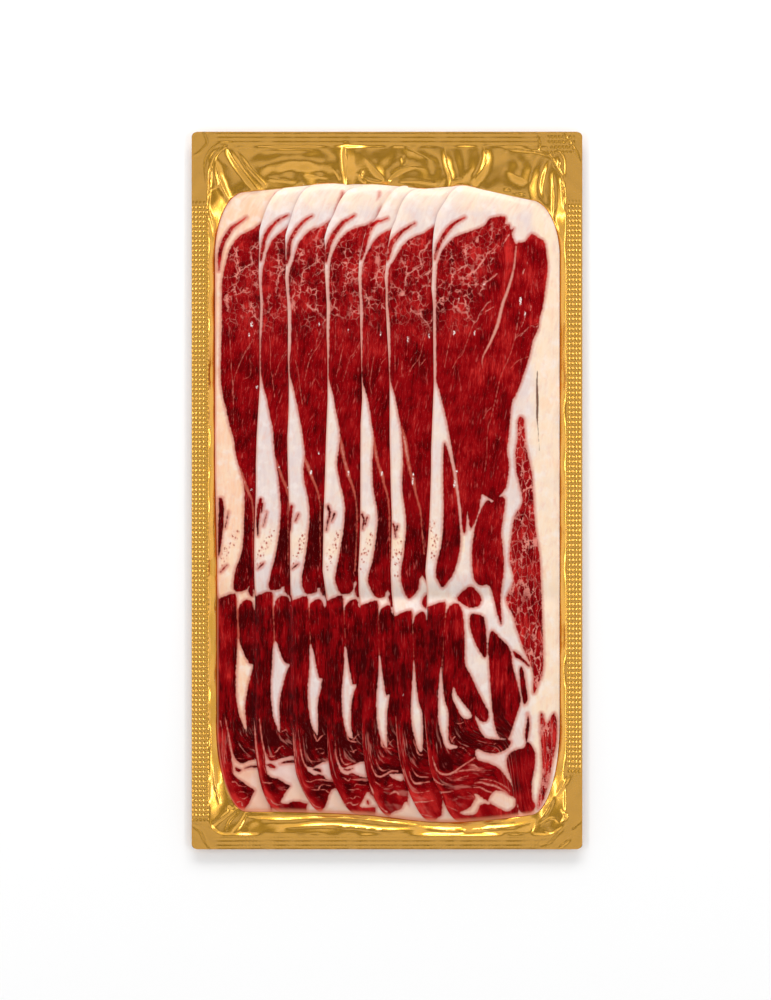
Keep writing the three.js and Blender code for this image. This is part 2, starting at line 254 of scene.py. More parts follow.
# --- The foil's pleats and creases ----------------------------------------------------------------------
# Crest of each as (x, y, height), then the widths of its flanks: left and right of a line that runs down, or
# below and above one that runs right.
FOLDS = [
    ([(-15.3, 131, .15), (-15.4, 127, .8), (-15.1, 121, .75), (-14.9, 115, .4)], 2.2, 3.6),
    ([(-20, 121.3, .1), (-18.6, 119.5, .3), (-17.8, 118, .3), (-17.9, 116.5, .1)], 1.1, 1.1),
    ([(-52, 121.5, .1), (-44, 123.6, .6), (-36, 124.8, .9), (-26, 124, .8), (-19, 121, .1)], 5, 5),
    ([(-47, 127.6, .05), (-38, 128, .25), (-28, 128, .05)], 1.4, 1.6),
    ([(-9.5, 127, .1), (-5, 122, .65), (-1.5, 118.3, .6), (0, 115.6, .3)], 2.6, 3.2),
    ([(0, 115.6, .2), (1, 117.8, .5), (4, 120.6, .65), (9, 122, .35), (15, 121.5, .05)], 2, 3.4),
    ([(21.6, 129.5, .1), (22.6, 123, .75), (24.3, 118, .7), (23.6, 113.3, .4)], 2.4, 3.4),
    ([(36, 130, .1), (37.5, 125.5, .85), (36, 121, .75), (33.4, 117.5, .55), (33.5, 114.6, .25)], 2.4, 3.6),
    ([(60.5, 126, .1), (57.8, 119, .85), (57, 112.5, .7), (59, 108, .1)], 4, 2.2),
    ([(-60.5, 130, .1), (-57, 123.6, .9), (-49, 113.4, .5)], 2.2, 3.2),
    ([(-56.5, 127.6, .1), (-52, 121.4, .5), (-46.2, 115.4, .25)], 1.2, 1.4),
    ([(-64.8, 125, .1), (-62.8, 116, .85), (-59.5, 109.6, .4)], 2.1, 2.6),
    ([(12, 128, .05), (16, 121, .5), (14, 115, .2)], 5, 5),
    ([(46, 128, .05), (50, 121, .6), (46, 114, .2)], 6, 5),
    ([(-32, 120, .05), (-38, 116.5, .4), (-46, 117.5, .05)], 4, 4),
    ([(28, 128, .05), (30, 121, .4), (28, 116, .1)], 4, 4),
    ([(-63, 115, .4), (-65.8, 113.6, .2), (-67.2, 112.5, .1)], .6, .7),
    ([(-60.5, 129.7, .25), (-63.6, 127, .3), (-65.7, 122.5, .25), (-66.8, 112, .3), (-67, 106, .3),
      (-65.5, 100, .3), (-65, 92, .1)], .8, .8),
    ([(61, 126.5, -.1), (65.3, 119.5, -.4), (66.9, 116, -.1)], 1, 1),
    ([(65.3, 119, .1), (66.4, 112, .5), (66.9, 106, .1)], .9, .9),
    ([(62.5, 119, .1), (63, 110, .45), (62.7, 102, .1)], 1.3, 1.3),
    ([(61, 106, .1), (63.5, 100, .35), (65.8, 94, .1)], 1, 1),
    ([(64.3, 125, .1), (64.9, 122.8, .4), (65.1, 120.8, .1)], .7, .9),
    ([(47.5, 112.4, .1), (50, 111.8, .35), (52.5, 111.4, .1)], .9, .9),
    ([(-9.5, 120, .35), (-10, 118, .35), (-8.5, 116.4, .3)], 1, 1),
    ([(25, 116.6, .3), (28, 117.2, .3)], .9, .9),
    ([(6, 125, .35), (6.2, 123.8, .35)], 1.7, 1.7), ([(44.5, 113.6, .3), (46, 113.4, .3)], .9, .9),
    ([(45, 128.8, -.1), (52, 128, -.3), (58, 127.2, -.3), (61, 125.8, -.1)], 1.1, 1.1),
    ([(6, 129, .05), (13, 126.3, .4), (20, 122.6, .05)], 3, 3),
    ([(44, 121, .05), (49, 118.5, .45), (54, 116, .1)], 3, 3),
    ([(-32, 119.3, .05), (-26, 118.6, .3), (-21, 117.6, .05)], 1.6, 2),
    ([(-44, 117.5, .1), (-38, 117, .3), (-34, 116.4, 0)], 1.2, 1.6),
    ([(-11, 119.4, .1), (-6, 117, .2), (0, 116.4, .2), (10, 116.8, .25), (18, 115.8, .1)], .7, .9),
    ([(-53, -123.4, .15), (-40, -124.2, .35), (-28, -123.6, .3), (-15, -123.6, .3), (0, -125, .35),
      (11, -126.2, .2)],
     1.6, 1.3),
    ([(-38, -126.9, .1), (-20, -126.2, .4), (0, -127.8, .4), (10, -127.5, .1)], 1.2, 1.2),
    ([(12, -126.9, .1), (25, -128, .4), (45, -126.8, .35), (54, -125, .1)], 1.2, 1.3),
    ([(20, -126, .05), (34, -125.6, .25), (48, -124.6, .1)], .8, .8),
    ([(-66, -126, .15), (-61, -122.4, .6), (-57, -119.5, .25)], 1.6, 1.6),
    ([(-58, -129, .1), (-55.3, -126, .5), (-53, -121.5, .3)], 1.3, 1.3),
    ([(-59.6, -119.6, .4), (-59.4, -120.4, .4)], 1.2, 1.2),
    ([(-56.3, -121.5, .2), (-59.3, -124.5, .3), (-60.5, -128, .1)], .7, .7),
    ([(-63, -118, .1), (-64.5, -112, .35), (-65.4, -104, .1)], 1, 1),
    ([(58, -124, .1), (60, -120.8, .7), (62.5, -116.5, .2)], 1.6, 2.4),
    ([(66, -120.5, .2), (67.4, -122.6, .5), (65.8, -125, .2)], 1, 1),
    ([(54, -128.8, .1), (54.9, -126.8, .45), (55.3, -124.8, .2)], 1, 1.4),
    ([(58, -126, .1), (60.2, -124.2, .3), (63, -123.4, .3), (65, -125, .1)], .8, .8),
    ([(59, -128.6, .1), (62, -129.2, .3), (66, -127, .1)], .8, .8),
    ([(69, -107, .05), (66.8, -110.2, .45), (63.6, -115, .1)], 1.3, 1.3),
    ([(-73, -126.5, .1), (-70.5, -128, .2), (-69, -131, .2), (-67, -134.4, .1)], .6, .9),
    ([(68.6, -131.4, .15), (66.4, -133.2, .35), (64.6, -134.6, .15)], .9, .9),
    ([(70, -127, .2), (72.8, -124.6, .1)], .6, .6),
    ([(58, -133.5, .1), (61, -132.5, .2), (63.5, -130, .2), (66, -128, .1)], .7, .7),
    ([(66, 134.6, .1), (68.5, 131, .2), (71, 127.5, .2), (72.5, 124, .1)], .8, .8),
    ([(56.5, 133.4, .1), (57.3, 130.5, .25), (57, 127.8, .2)], .6, .6),
    ([(61.6, 126.6, .3), (62.2, 126, .3)], .7, .7),
    ([(-69, 134.6, .1), (-67.6, 131, .15), (-70, 127.6, .15), (-73, 126, .05)], .8, .8),
    ([(-58.5, 130.6, .1), (-64, 130, .15), (-68.2, 124.4, .2), (-68, 116, .1)], .6, .6),
]
SOFT_FROM = 4.0  # folds with a flank this wide have round crests, the others sharp ones
SHARPNESS = 1.8  # power by which a sharp fold's flank falls
DEEPEST_FOLD, HIGHEST_FOLD = -0.5, 0.9
WALL_UNDER_MEAT = 1.0  # the wall starts this far inside the meat's outline, so the meat's edge leans on it


def fold_relief(x, y):
    total = np.zeros(np.shape(x))
    for points, low_width, high_width in FOLDS:
        path = curve_through(points, 4)
        reach = max(low_width, high_width)
        low, high = path[:, :2].min(axis=0) - reach, path[:, :2].max(axis=0) + reach
        close = (x > low[0]) & (x < high[0]) & (y > low[1]) & (y < high[1])
        cx, cy = x[close], y[close]
        nearest, relief = np.full(cx.shape, 1e9), np.zeros(cx.shape)
        for a, b in zip(path, path[1:]):
            distance, t = segment_distance(cx, cy, a, b)
            above = (b[0] - a[0]) * (cy - a[1]) - (b[1] - a[1]) * (cx - a[0]) > 0
            flank = np.clip(1 - distance / np.where(above, high_width, low_width), 0, 1)
            flank = smoothstep(flank) if reach >= SOFT_FROM else flank**SHARPNESS
            relief = np.where(distance < nearest, mix(a[2], b[2], t) * flank, relief)
            nearest = np.minimum(nearest, distance)
        total[close] += relief
    return np.clip(total, DEEPEST_FOLD, HIGHEST_FOLD)


def ripples(x, y, wavelength, seed, waves=16):
    """Waves in all directions, about 1 high."""
    draw = np.random.default_rng(seed)
    total = 0
    for angle, phase, stretch in draw.uniform((0, 0, 0.7), (math.pi, 2 * math.pi, 1.5), (waves, 3)):
        along = x * math.cos(angle) + y * math.sin(angle)
        total = total + np.cos(2 * math.pi / (wavelength * stretch) * along + phase)
    return total / math.sqrt(waves / 2)


# --- Heights of tray, slices and film ----------------------------------------------------------------------
def tray_base(x, y):
    """Top of the smooth tray (floor, wall up to the pocket's edge, and flange), and the relief on it."""
    from_foot = np.maximum(WALL_UNDER_MEAT - inside_distance(x, y, MEAT_OUTLINE), 0)
    to_edge = np.maximum(frame_distance(x, y, POCKET_WIDTH, POCKET_LENGTH, POCKET_CORNER), 0)
    share = from_foot / np.maximum(from_foot + to_edge, 1e-6)
    rise = mix(share, smoothstep(share), 0.5)
    on_wall = smoothstep(from_foot / 1.5) * smoothstep(to_edge / 1.2)
    crumple = 0.025 * ripples(x, y, 5.5, 3) + 0.17 * ripples(x, y, 13, 4) + 0.2 * ripples(x, y, 34, 6)
    crumple = crumple * on_wall + 0.012 * ripples(x, y, 7, 5) * smoothstep(share * 4 - 3)
    to_rim = smoothstep((PACK_WIDTH / 2 - np.abs(x)) / 0.8) * smoothstep((PACK_LENGTH / 2 - np.abs(y)) / 0.8)
    base = mix(FOIL_THICKNESS, FLANGE_TOP, rise)
    relief = (fold_relief(x, y) * smoothstep(from_foot / 1.6) + crumple) * to_rim
    return base, np.maximum(relief, 0.3 - base)


def slice_thickness(x, y, depth, from_right):
    """A slice's thickness at some depth inside its outline. Its hidden right edge runs out thin."""
    reach = np.where(y > 0, head_y(x) - STRAIGHT, -tail_y(x) - STRAIGHT)
    bent = np.clip((np.abs(y) - STRAIGHT) / reach, 0, 1)
    ends = END_THINNING * (1 - np.sqrt(1 - bent**2)) ** 2
    joint = JOINT_DIP * np.exp(-(((y - JOINT_Y) / JOINT_WIDTH) ** 2))
    edge = mix(EDGE_SHARE, 1.0, smoothstep(depth / EDGE_ROUNDING))
    return (SLICE_THICKNESS * (1 - ends) - joint) * edge * mix(0.1, 1.0, smoothstep(from_right))


tray_raster = sum(tray_base(GRID_X, GRID_Y))
stack = tray_raster
slice_bottoms, slice_tops = [], []
for k in range(len(SLICES)):
    depth = inside_distance(GRID_X, GRID_Y, slice_outline(k, k))
    from_right = np.ones(GRID_X.shape) if is_last(k) else (SLICES[k][2] - GRID_X) / RUN_OUT
    bottom = blurred(stack, SLICE_BLUR) + GAP
    top = bottom + slice_thickness(GRID_X, GRID_Y, depth, from_right)
    slice_bottoms.append(bottom)
    slice_tops.append(top)
    stack = np.where(depth > 0, top, stack)
film_raster = blurred(dilated(np.maximum(stack, tray_raster), FILM_REACH), FILM_BLUR) + FILM_LIFT


# --- Meshes ---------------------------------------------------------------------------------------------
def new_object(name, points, faces, smooth_angle=40):
    mesh = bpy.data.meshes.new(name)
    mesh.from_pydata((points * MM).tolist(), [], faces)
    mesh.polygons.foreach_set("use_smooth", np.ones(len(mesh.polygons), bool))
    mesh.set_sharp_from_angle(angle=math.radians(smooth_angle))
    mesh.update()
    obj = bpy.data.objects.new(name, mesh)
    bpy.context.scene.collection.objects.link(obj)
    return obj


def quads(index):
    """Quads over a grid of vertex numbers whose rows go up and whose columns go right."""
    corners = index[:-1, :-1], index[:-1, 1:], index[1:, 1:], index[1:, :-1]
    return np.stack(corners, axis=-1).reshape(-1, 4)


def closed_slab(name, x, y, top, bottom, kept_rows, kept_columns, hole=None):
    """A closed body with a fine upper grid and a coarse lower one that keeps some rows and columns.

    hole is a block of upper cells (first row, last row, first column, last column) made as one flat face.
    """
    rows, columns = x.shape
    fine = np.arange(rows * columns).reshape(rows, columns)
    cells = quads(fine)
    if hole:
        r0, r1, c0, c1 = hole
        block = np.zeros((rows - 1, columns - 1), bool)
        block[r0:r1, c0:c1] = True
        cells = cells[~block.ravel()]
    faces = cells.tolist()
    if hole:
        ring = [fine[r0, c0:c1], fine[r0:r1, c1], fine[r1, c1:c0:-1], fine[r1:r0:-1, c0]]
        faces.append(np.concatenate(ring).tolist())
    chosen = np.ix_(kept_rows, kept_columns)
    coarse = fine.size + np.arange(len(kept_rows) * len(kept_columns)).reshape(len(kept_rows), -1)
    faces += quads(coarse)[:, ::-1].tolist()
    sides = [
        (kept_columns, coarse[0], fine[0], False), (kept_rows, coarse[:, -1], fine[:, -1], False),
        (kept_columns, coarse[-1], fine[-1], True), (kept_rows, coarse[:, 0], fine[:, 0], True),
    ]
    for kept, low, high, turned in sides:
        for n in range(len(kept) - 1):
            face = [low[n], low[n + 1], *high[kept[n]:kept[n + 1] + 1][::-1]]
            faces.append([int(v) for v in (face[::-1] if turned else face)])
    points = np.vstack([
        np.column_stack([x.ravel(), y.ravel(), top.ravel()]),
        np.column_stack([x[chosen].ravel(), y[chosen].ravel(), bottom[chosen].ravel()]),
    ])
    used = np.zeros(len(points), bool)
    used[np.concatenate([np.asarray(f) for f in faces])] = True
    renumber = np.cumsum(used) - 1
    faces = [renumber[np.asarray(f)].tolist() for f in faces]
    return new_object(name, points[used], faces)


def nearest_places(values, wanted):
    """Places in a rising list of values that lie nearest to the wanted ones."""
    return sorted({int(np.argmin(np.abs(values - w))) for w in wanted})


def pack_grid(x_lines, y_lines):
    """A grid of points over the pack, with its four corners rounded."""
    x, y = np.meshgrid(x_lines, y_lines)
    into = np.clip((np.abs(y) - PACK_LENGTH / 2 + PACK_CORNER) / PACK_CORNER, 0, 1)
    half_width = PACK_WIDTH / 2 - PACK_CORNER * (1 - np.sqrt(1 - into**2))
    return x * half_width / (PACK_WIDTH / 2), y


def lines(*stops):
    """Rising values from (start, step) pairs, the last being the end."""
    parts = []
    for (a, step), (b, _) in zip(stops, stops[1:]):
        parts.append(np.linspace(a, b, max(1, round((b - a) / step)), endpoint=False))
    return np.append(np.concatenate(parts), stops[-1][0])


HIDDEN_X, HIDDEN_Y = (-61.5, 61.5), (-108, 100)  # the slices hide the foil's floor between these
UNDERSIDE_X = [0, 20, 40, 55, 60, 63, 64.5, 65.5, 66.5, 67.5, 70, 73.5]
UNDERSIDE_Y = [-135, -132, -130, -128, -126, -124, -121, -115, -105, -95, -88, -60, -30, 0, 30, 60, 88, 95,
               105, 110, 113, 116, 119, 122, 125, 128, 130, 132, 135]


def make_tray():
    half_w, half_l = PACK_WIDTH / 2, PACK_LENGTH / 2
    x_lines = lines((-half_w, 0.33), (HIDDEN_X[0], 0.37), (HIDDEN_X[1], 0.33), (half_w, 0))
    y_lines = lines((-half_l, 0.37), (-112, 0.55), (105, 0.37), (half_l, 0))
    x, y = pack_grid(x_lines, y_lines)
    base, relief = tray_base(x, y)
    hole = (*nearest_places(y_lines, HIDDEN_Y), *nearest_places(x_lines, HIDDEN_X))
    rows = nearest_places(y_lines, UNDERSIDE_Y)
    columns = nearest_places(x_lines, [-v for v in UNDERSIDE_X] + UNDERSIDE_X)
    return closed_slab("gold_foil_tray", x, y, base + relief, base - FOIL_THICKNESS, rows, columns, hole)


SLICE_STEP, HIDDEN_STEP = 0.38, 2.5
UNDERLAP = 1.5  # the fine part of a slice runs this far under the next one


def make_slice(k):
    upper, lower, right = SLICES[k]
    end, value = row_values(SLICE_STEP)
    if is_last(k):
        stops = lines((0, SLICE_STEP), (right - upper, 0))
    else:
        strip = max(SLICES[k + 1][0] - upper, SLICES[k + 1][1] - lower) + UNDERLAP
        stops = lines((0, SLICE_STEP), (strip, HIDDEN_STEP), (right - upper, 0))
    share = stops / (right - upper)
    x, y = slice_plan(k, share, end, value)
    top = sample(slice_tops[k], x, y)
    bottom = sample(slice_bottoms[k], x, y)
    rows = sorted({*range(0, len(value), 10), len(value) - 1})
    columns = sorted({*range(0, len(stops), 6), len(stops) - 1})
    return closed_slab(f"cured_ham_slice_{k + 1}", x, y, top, bottom, rows, columns)


def make_film():
    half_w, half_l = PACK_WIDTH / 2, PACK_LENGTH / 2
    step = 2 * CELL  # so that the film's points lie on cells of the raster
    x, y = pack_grid(lines((-half_w, step), (half_w, 0)), lines((-half_l, step), (half_l, 0)))
    z = np.minimum(sample(film_raster, x, y), TOP_OF_PACK)
    points = np.column_stack([x.ravel(), y.ravel(), z.ravel()])
    return new_object("clear_film_sheet", points, quads(np.arange(x.size).reshape(x.shape)).tolist())


# --- The meat's anatomy: outlines and lines on the slices, in millimetres of the pack ---------------------
# Left side of the upper muscle of slices 1 to 6, from the fat cap down past the fat wedge to the joint.
UPPER_MUSCLE = [
    [(-44, 101.5), (-48, 100.3), (-51, 98.2), (-55, 96.3), (-57.6, 93.7), (-59.4, 90.3), (-60.5, 86.5),
     (-61.6, 82), (-62.2, 77), (-62.3, 62), (-62.6, 50), (-62.6, 42), (-62, 36.5), (-60.6, 30.5),
     (-59.4, 25), (-57.8, 19.5), (-57.2, 15), (-56.2, 10.5), (-55.2, 7.2), (-53.9, 2), (-53.7, -4),
     (-53.9, -12), (-54.3, -20), (-55.3, -25), (-57, -29.5), (-57.7, -34), (-57.9, -36.8), (-56.5, -38.1),
     (-54.5, -37.9), (-52.5, -37.1), (-51, -35.8)],
    [(-36, 99.8), (-38, 98.8), (-40, 97), (-42.5, 95), (-44, 92.5), (-45.3, 89.5), (-46.1, 86), (-47, 82),
     (-47.1, 77), (-46.7, 70), (-46.9, 65), (-47.2, 60), (-47.6, 54), (-47.6, 45), (-47.2, 42.5),
     (-46.4, 38.5), (-45.2, 34.5), (-44.3, 29.5), (-43.1, 24), (-42.7, 19), (-42.3, 14), (-41.6, 9.5),
     (-40.9, 5), (-40.5, 1), (-40.1, -4), (-40, -8), (-40.3, -13), (-41, -19), (-42, -24.5), (-43.2, -29),
     (-44.2, -33.5), (-44.6, -36.2), (-43.5, -37.5), (-42, -37.5), (-40.3, -37), (-38.6, -36.1)],
    [(-20, 102), (-22, 101), (-25, 99.3), (-28, 98.3), (-30.5, 96.3), (-32.8, 93.5), (-34.2, 90.3),
     (-35.2, 86.5), (-36.4, 83.5), (-37, 80), (-36.8, 75), (-36.2, 70), (-36, 65), (-36.1, 55), (-36.6, 50),
     (-36.7, 45), (-36.2, 42), (-34.8, 37), (-34, 33), (-33, 28), (-32, 23), (-31.3, 18), (-30.9, 13),
     (-31.4, 8), (-31, 3), (-30, -1), (-29.3, -6), (-29.1, -10), (-29.6, -16), (-30.3, -22), (-31, -27),
     (-31.8, -31), (-32, -34.5), (-31.3, -37.5), (-30, -39), (-28, -38.7), (-26.3, -38), (-25.2, -36.5)],
    [(-3, 102), (-4.5, 101.7), (-8, 99.8), (-12, 98.7), (-15, 97), (-17.5, 94.5), (-19.3, 91.5),
     (-20.6, 88.5), (-21.4, 85), (-21.6, 80), (-21.7, 75), (-21.3, 69), (-21.6, 62), (-21.8, 52), (-22, 46),
     (-21.8, 41.5), (-20.2, 35.8), (-19.2, 30), (-18.2, 25), (-17.6, 20.5), (-18.2, 15), (-18.8, 10),
     (-18.2, 6), (-17.4, 2), (-16.4, -2), (-15.9, -6), (-15.9, -10), (-16.4, -15), (-17.2, -20), (-18, -25),
     (-19.1, -30), (-19.5, -33), (-18.9, -36), (-17.4, -38.7), (-15.5, -39), (-13.8, -38.5), (-12.5, -37),
     (-11.8, -34)],
    [(5, 98.5), (2, 98.2), (-1, 97), (-4, 94.8), (-6, 92), (-7.6, 89), (-8.8, 86), (-9.4, 82), (-9.6, 78),
     (-9.4, 73), (-9, 67), (-9.2, 60), (-9.3, 52), (-9.5, 46), (-9.2, 41), (-8.2, 37.5), (-7.2, 34.5),
     (-6.5, 30), (-5.7, 25), (-5, 20), (-5.2, 15), (-5.5, 11), (-5.4, 6), (-5.2, 2), (-4.5, -3), (-3.8, -7),
     (-3.5, -11), (-3.9, -16), (-4.7, -22), (-5.6, -27), (-6.8, -31), (-7.1, -34), (-6.2, -37), (-4.3, -40),
     (-2.5, -40.4), (-0.8, -39.8), (0.4, -37.5)],
    [(20, 99.5), (17.3, 99.2), (14, 96.8), (10.5, 95.5), (8, 94), (5.7, 91.7), (4, 89), (2.5, 86.3),
     (1, 84), (0.4, 80), (0.3, 75), (0.4, 69), (1, 64), (1.2, 58), (1.3, 52), (1.1, 46), (1.3, 41),
     (2.8, 36.5), (3.6, 32.5), (4.4, 28), (5.3, 23.5), (5.6, 19), (6, 14.5), (6, 10), (5.7, 4), (5.8, 0),
     (6.3, -4), (7, -9), (7.2, -14), (6.9, -18), (6.2, -24), (5.4, -29), (5.2, -32), (5.5, -35),
     (6.6, -38.5), (8.2, -40.6), (10, -39.5), (12, -36.5), (13.3, -32)],
]
# Thin muscle in the fat cap above the upper muscle: (x, y, half width).
CAP_STRIPE = [
    [(-53, 103, .15), (-56, 100.8, .35), (-58, 99.3, .6), (-60, 96.8, .75), (-61.8, 93.5, .75),
     (-62.8, 90, .7), (-63.2, 86.5, .5), (-63.4, 83, .25)],
    [(-37.3, 103.6, .15), (-40, 102.3, .4), (-42.5, 100.3, .5), (-44.5, 98, .7), (-46, 95, .6),
     (-46.9, 91, .7), (-47.5, 87, .5)],
    [(-28.2, 103.3, .15), (-31, 101.5, .4), (-33, 99.5, .5), (-34.5, 97.5, .65), (-36, 94.8, .6),
     (-36.9, 92, .7), (-37.2, 88, .7), (-37.8, 85.5, .4)],
    [(-12.2, 103.5, .2), (-14.5, 102, .4), (-16.5, 100.8, .55), (-18.8, 98, .8), (-20.5, 95.5, .8),
     (-21.8, 92.5, .8), (-22.6, 89, .8), (-23, 86, .4)],
    [(.2, 102.4, .2), (-2, 101.5, .35), (-4, 101, .5), (-6.2, 99, .9), (-7.5, 96, .8), (-8.2, 93, .8),
     (-8.9, 90, .7), (-9.8, 87, .4)],
    [(10.5, 100.5, .2), (8.5, 99.3, .35), (6.5, 98, .5), (4.5, 96.3, .7), (2.5, 94, .9), (1.2, 91.5, .8),
     (.7, 89, .7), (.2, 86.5, .3)],
    [(29.3, 102.7, .2), (26.8, 101.4, .4), (24.5, 99.8, .6), (22.3, 97.3, .7), (20.5, 94.5, .7),
     (19.3, 92, .7), (18.6, 89.5, .6), (18, 87, .3)],
]
# Sinew between the upper muscle and its tongue.
SINEW = [
    [(-55.5, 9, .3), (-54, 4, .8), (-52.3, -.5, .7), (-50.9, -4, .55), (-50.4, -9, .45), (-50.5, -16, .4),
     (-50.4, -27, .3)],
    [(-41.9, 12, .4), (-40.7, 8.5, .7), (-39.2, 4, .7), (-37.9, 1, .7), (-37, -3, .5), (-37.3, -10, .35),
     (-37.2, -28, .3)],
    [(-31.3, 13, .6), (-29.8, 9, .9), (-28.6, 6, .8), (-27, 2, .6), (-25.8, -1.5, .5), (-25.2, -6, .4),
     (-25.2, -14, .35), (-25, -26, .3)],
    [(-17.6, 21, .3), (-16.9, 16, .9), (-16, 11.5, .8), (-14.7, 6.5, .9), (-13.5, 3, .7), (-12.2, -1, .6),
     (-11.6, -5, .5), (-11.3, -10, .5), (-11.5, -20, .4), (-12, -30, .5)],
    [(-4.9, 20, .4), (-4.3, 14.5, .8), (-3.2, 9.5, .7), (-1.9, 6, .9), (-1, 2, .6), (.2, -2, .5),
     (.8, -7, .45), (1, -15, .4), (1.2, -27, .35)],
    [(5.5, 24, .4), (6.6, 19, 1), (7.8, 12, .9), (8.8, 7, .7), (9.8, 4, .9), (10.6, 0, .7), (11.6, -4, .6),
     (12.6, -8, .5), (13.2, -15, .4), (14, -24, .4)],
    [(20.2, 31, .4), (21.8, 26, .8), (23, 19, .8), (24.3, 12, .7), (25.6, 6, 1), (26, 1, .8), (27, -4, .6),
     (27.6, -10, .5), (28, -18, .4)],
]
# Upper side of the lower muscles, from the slice's left edge: a flat top, then a round one.
LOWER_TOP = [
    [(-66, -41.3), (-63.5, -40.8), (-57.2, -38.9), (-56.4, -45), (-55.4, -43), (-53.8, -41.5), (-52, -41.2),
     (-50.6, -42.3), (-49.8, -45), (-44, -47)],
    [(-52, -40.3), (-49.5, -39.8), (-43.3, -38.1), (-42.8, -44), (-42, -41.8), (-40.5, -40), (-38.5, -39.6),
     (-37, -40.5), (-36.3, -42), (-31, -44)],
    [(-38, -42), (-35.5, -41.3), (-30.1, -39.8), (-29.5, -44), (-28.7, -42.4), (-27, -41.2), (-25.5, -40.8),
     (-24.2, -41.8), (-23.4, -44), (-18, -46)],
    [(-25, -42.2), (-22.5, -41.5), (-16.9, -39.5), (-16.2, -45), (-15.5, -43), (-13.5, -41.3), (-12, -40.8),
     (-11, -41.8), (-10.2, -44), (-5, -46)],
    [(-12, -44), (-10.2, -43.5), (-3.8, -41.4), (-3.1, -47), (-2.5, -44.8), (-1, -43.7), (.5, -43),
     (1.5, -44), (2.2, -46.5), (7, -48)],
    [(0, -48), (2.7, -47.2), (9.1, -45.1), (9.6, -50), (10.4, -47.6), (12, -46), (13.5, -45.6), (14.6, -47),
     (15.3, -49), (20, -50)],
]
# Pale seam between the two lower muscles, and the fat wedge that it opens into.
LOWER_SEAM = [
    [(-56.6, -39, .5), (-56.3, -47, .5), (-56, -54, .55), (-55.9, -59, .8)],
    [(-42.9, -38, .5), (-42.8, -46, .45), (-42.5, -53, .35), (-42.3, -58, .7)],
    [(-29.6, -39.8, .5), (-29.2, -46, .35), (-29.1, -52, .25), (-28.7, -58, .4), (-28.4, -62, .7)],
    [(-16.3, -39.5, .5), (-16.1, -45, .35), (-16, -50, .25), (-15.6, -57, .25), (-15.6, -62, .6)],
    [(-3.3, -41.5, .45), (-3.2, -47, .25), (-3, -55, .2), (-2.9, -62, .3), (-2.8, -66, .6)],
    [(9.5, -45, .5), (9.6, -50, .3), (9.9, -58, .25), (10.3, -66, .35), (10.3, -70, .5)],
    [(22.3, -42, .45), (22, -48, .3), (21.3, -55, .2), (21, -62, .3), (20.6, -68, .4)],
]
LOWER_WEDGE = [
    [(-56.2, -56), (-56.6, -63), (-57, -70), (-57, -76), (-56.4, -81), (-55.5, -85), (-54.2, -88.5),
     (-53, -91), (-53, -88), (-53.5, -82), (-52.7, -76), (-51.5, -70.5), (-50.4, -66), (-52, -65),
     (-53.8, -61.5), (-55.3, -58)],
    [(-42.8, -58), (-43.2, -65), (-43.8, -72), (-43.6, -79), (-42.8, -85), (-41.5, -89), (-40.4, -91),
     (-40.3, -87), (-40.5, -80), (-39.3, -74), (-38, -69), (-36.6, -65.5), (-38.2, -65), (-39.6, -62.5),
     (-40.5, -60), (-41.6, -57)],
    [(-29, -58), (-29.2, -66), (-29.8, -74), (-29.6, -81), (-28.5, -88), (-27, -91), (-26, -91.5),
     (-26, -86), (-26, -80), (-25, -75), (-24.3, -70.8), (-25.5, -70.5), (-26.3, -67.5), (-27, -64),
     (-27.8, -60)],
    [(-16, -59), (-16.2, -66), (-17, -75), (-16.9, -81), (-16.5, -86), (-15.6, -90), (-14.5, -92.5),
     (-12.8, -93), (-13.6, -88), (-13.3, -80), (-12.4, -76), (-11.5, -73), (-12.9, -72.8), (-13.8, -69),
     (-14.6, -64), (-15.2, -60)],
    [(-3, -62), (-3.2, -68), (-3.8, -75), (-4, -82), (-3.6, -88), (-2.4, -93), (0, -97), (0, -91), (0, -85),
     (.6, -79.5), (.9, -76.5), (-.2, -77), (-1, -73.5), (-1.8, -68), (-2.4, -63.5)],
    [(10, -64), (9.6, -70), (9, -80), (9.2, -87), (10.5, -93.5), (12.2, -98), (13.4, -97), (13.5, -88),
     (13.2, -83), (12.2, -80.5), (11.4, -76), (10.8, -71), (10.4, -66)],
]
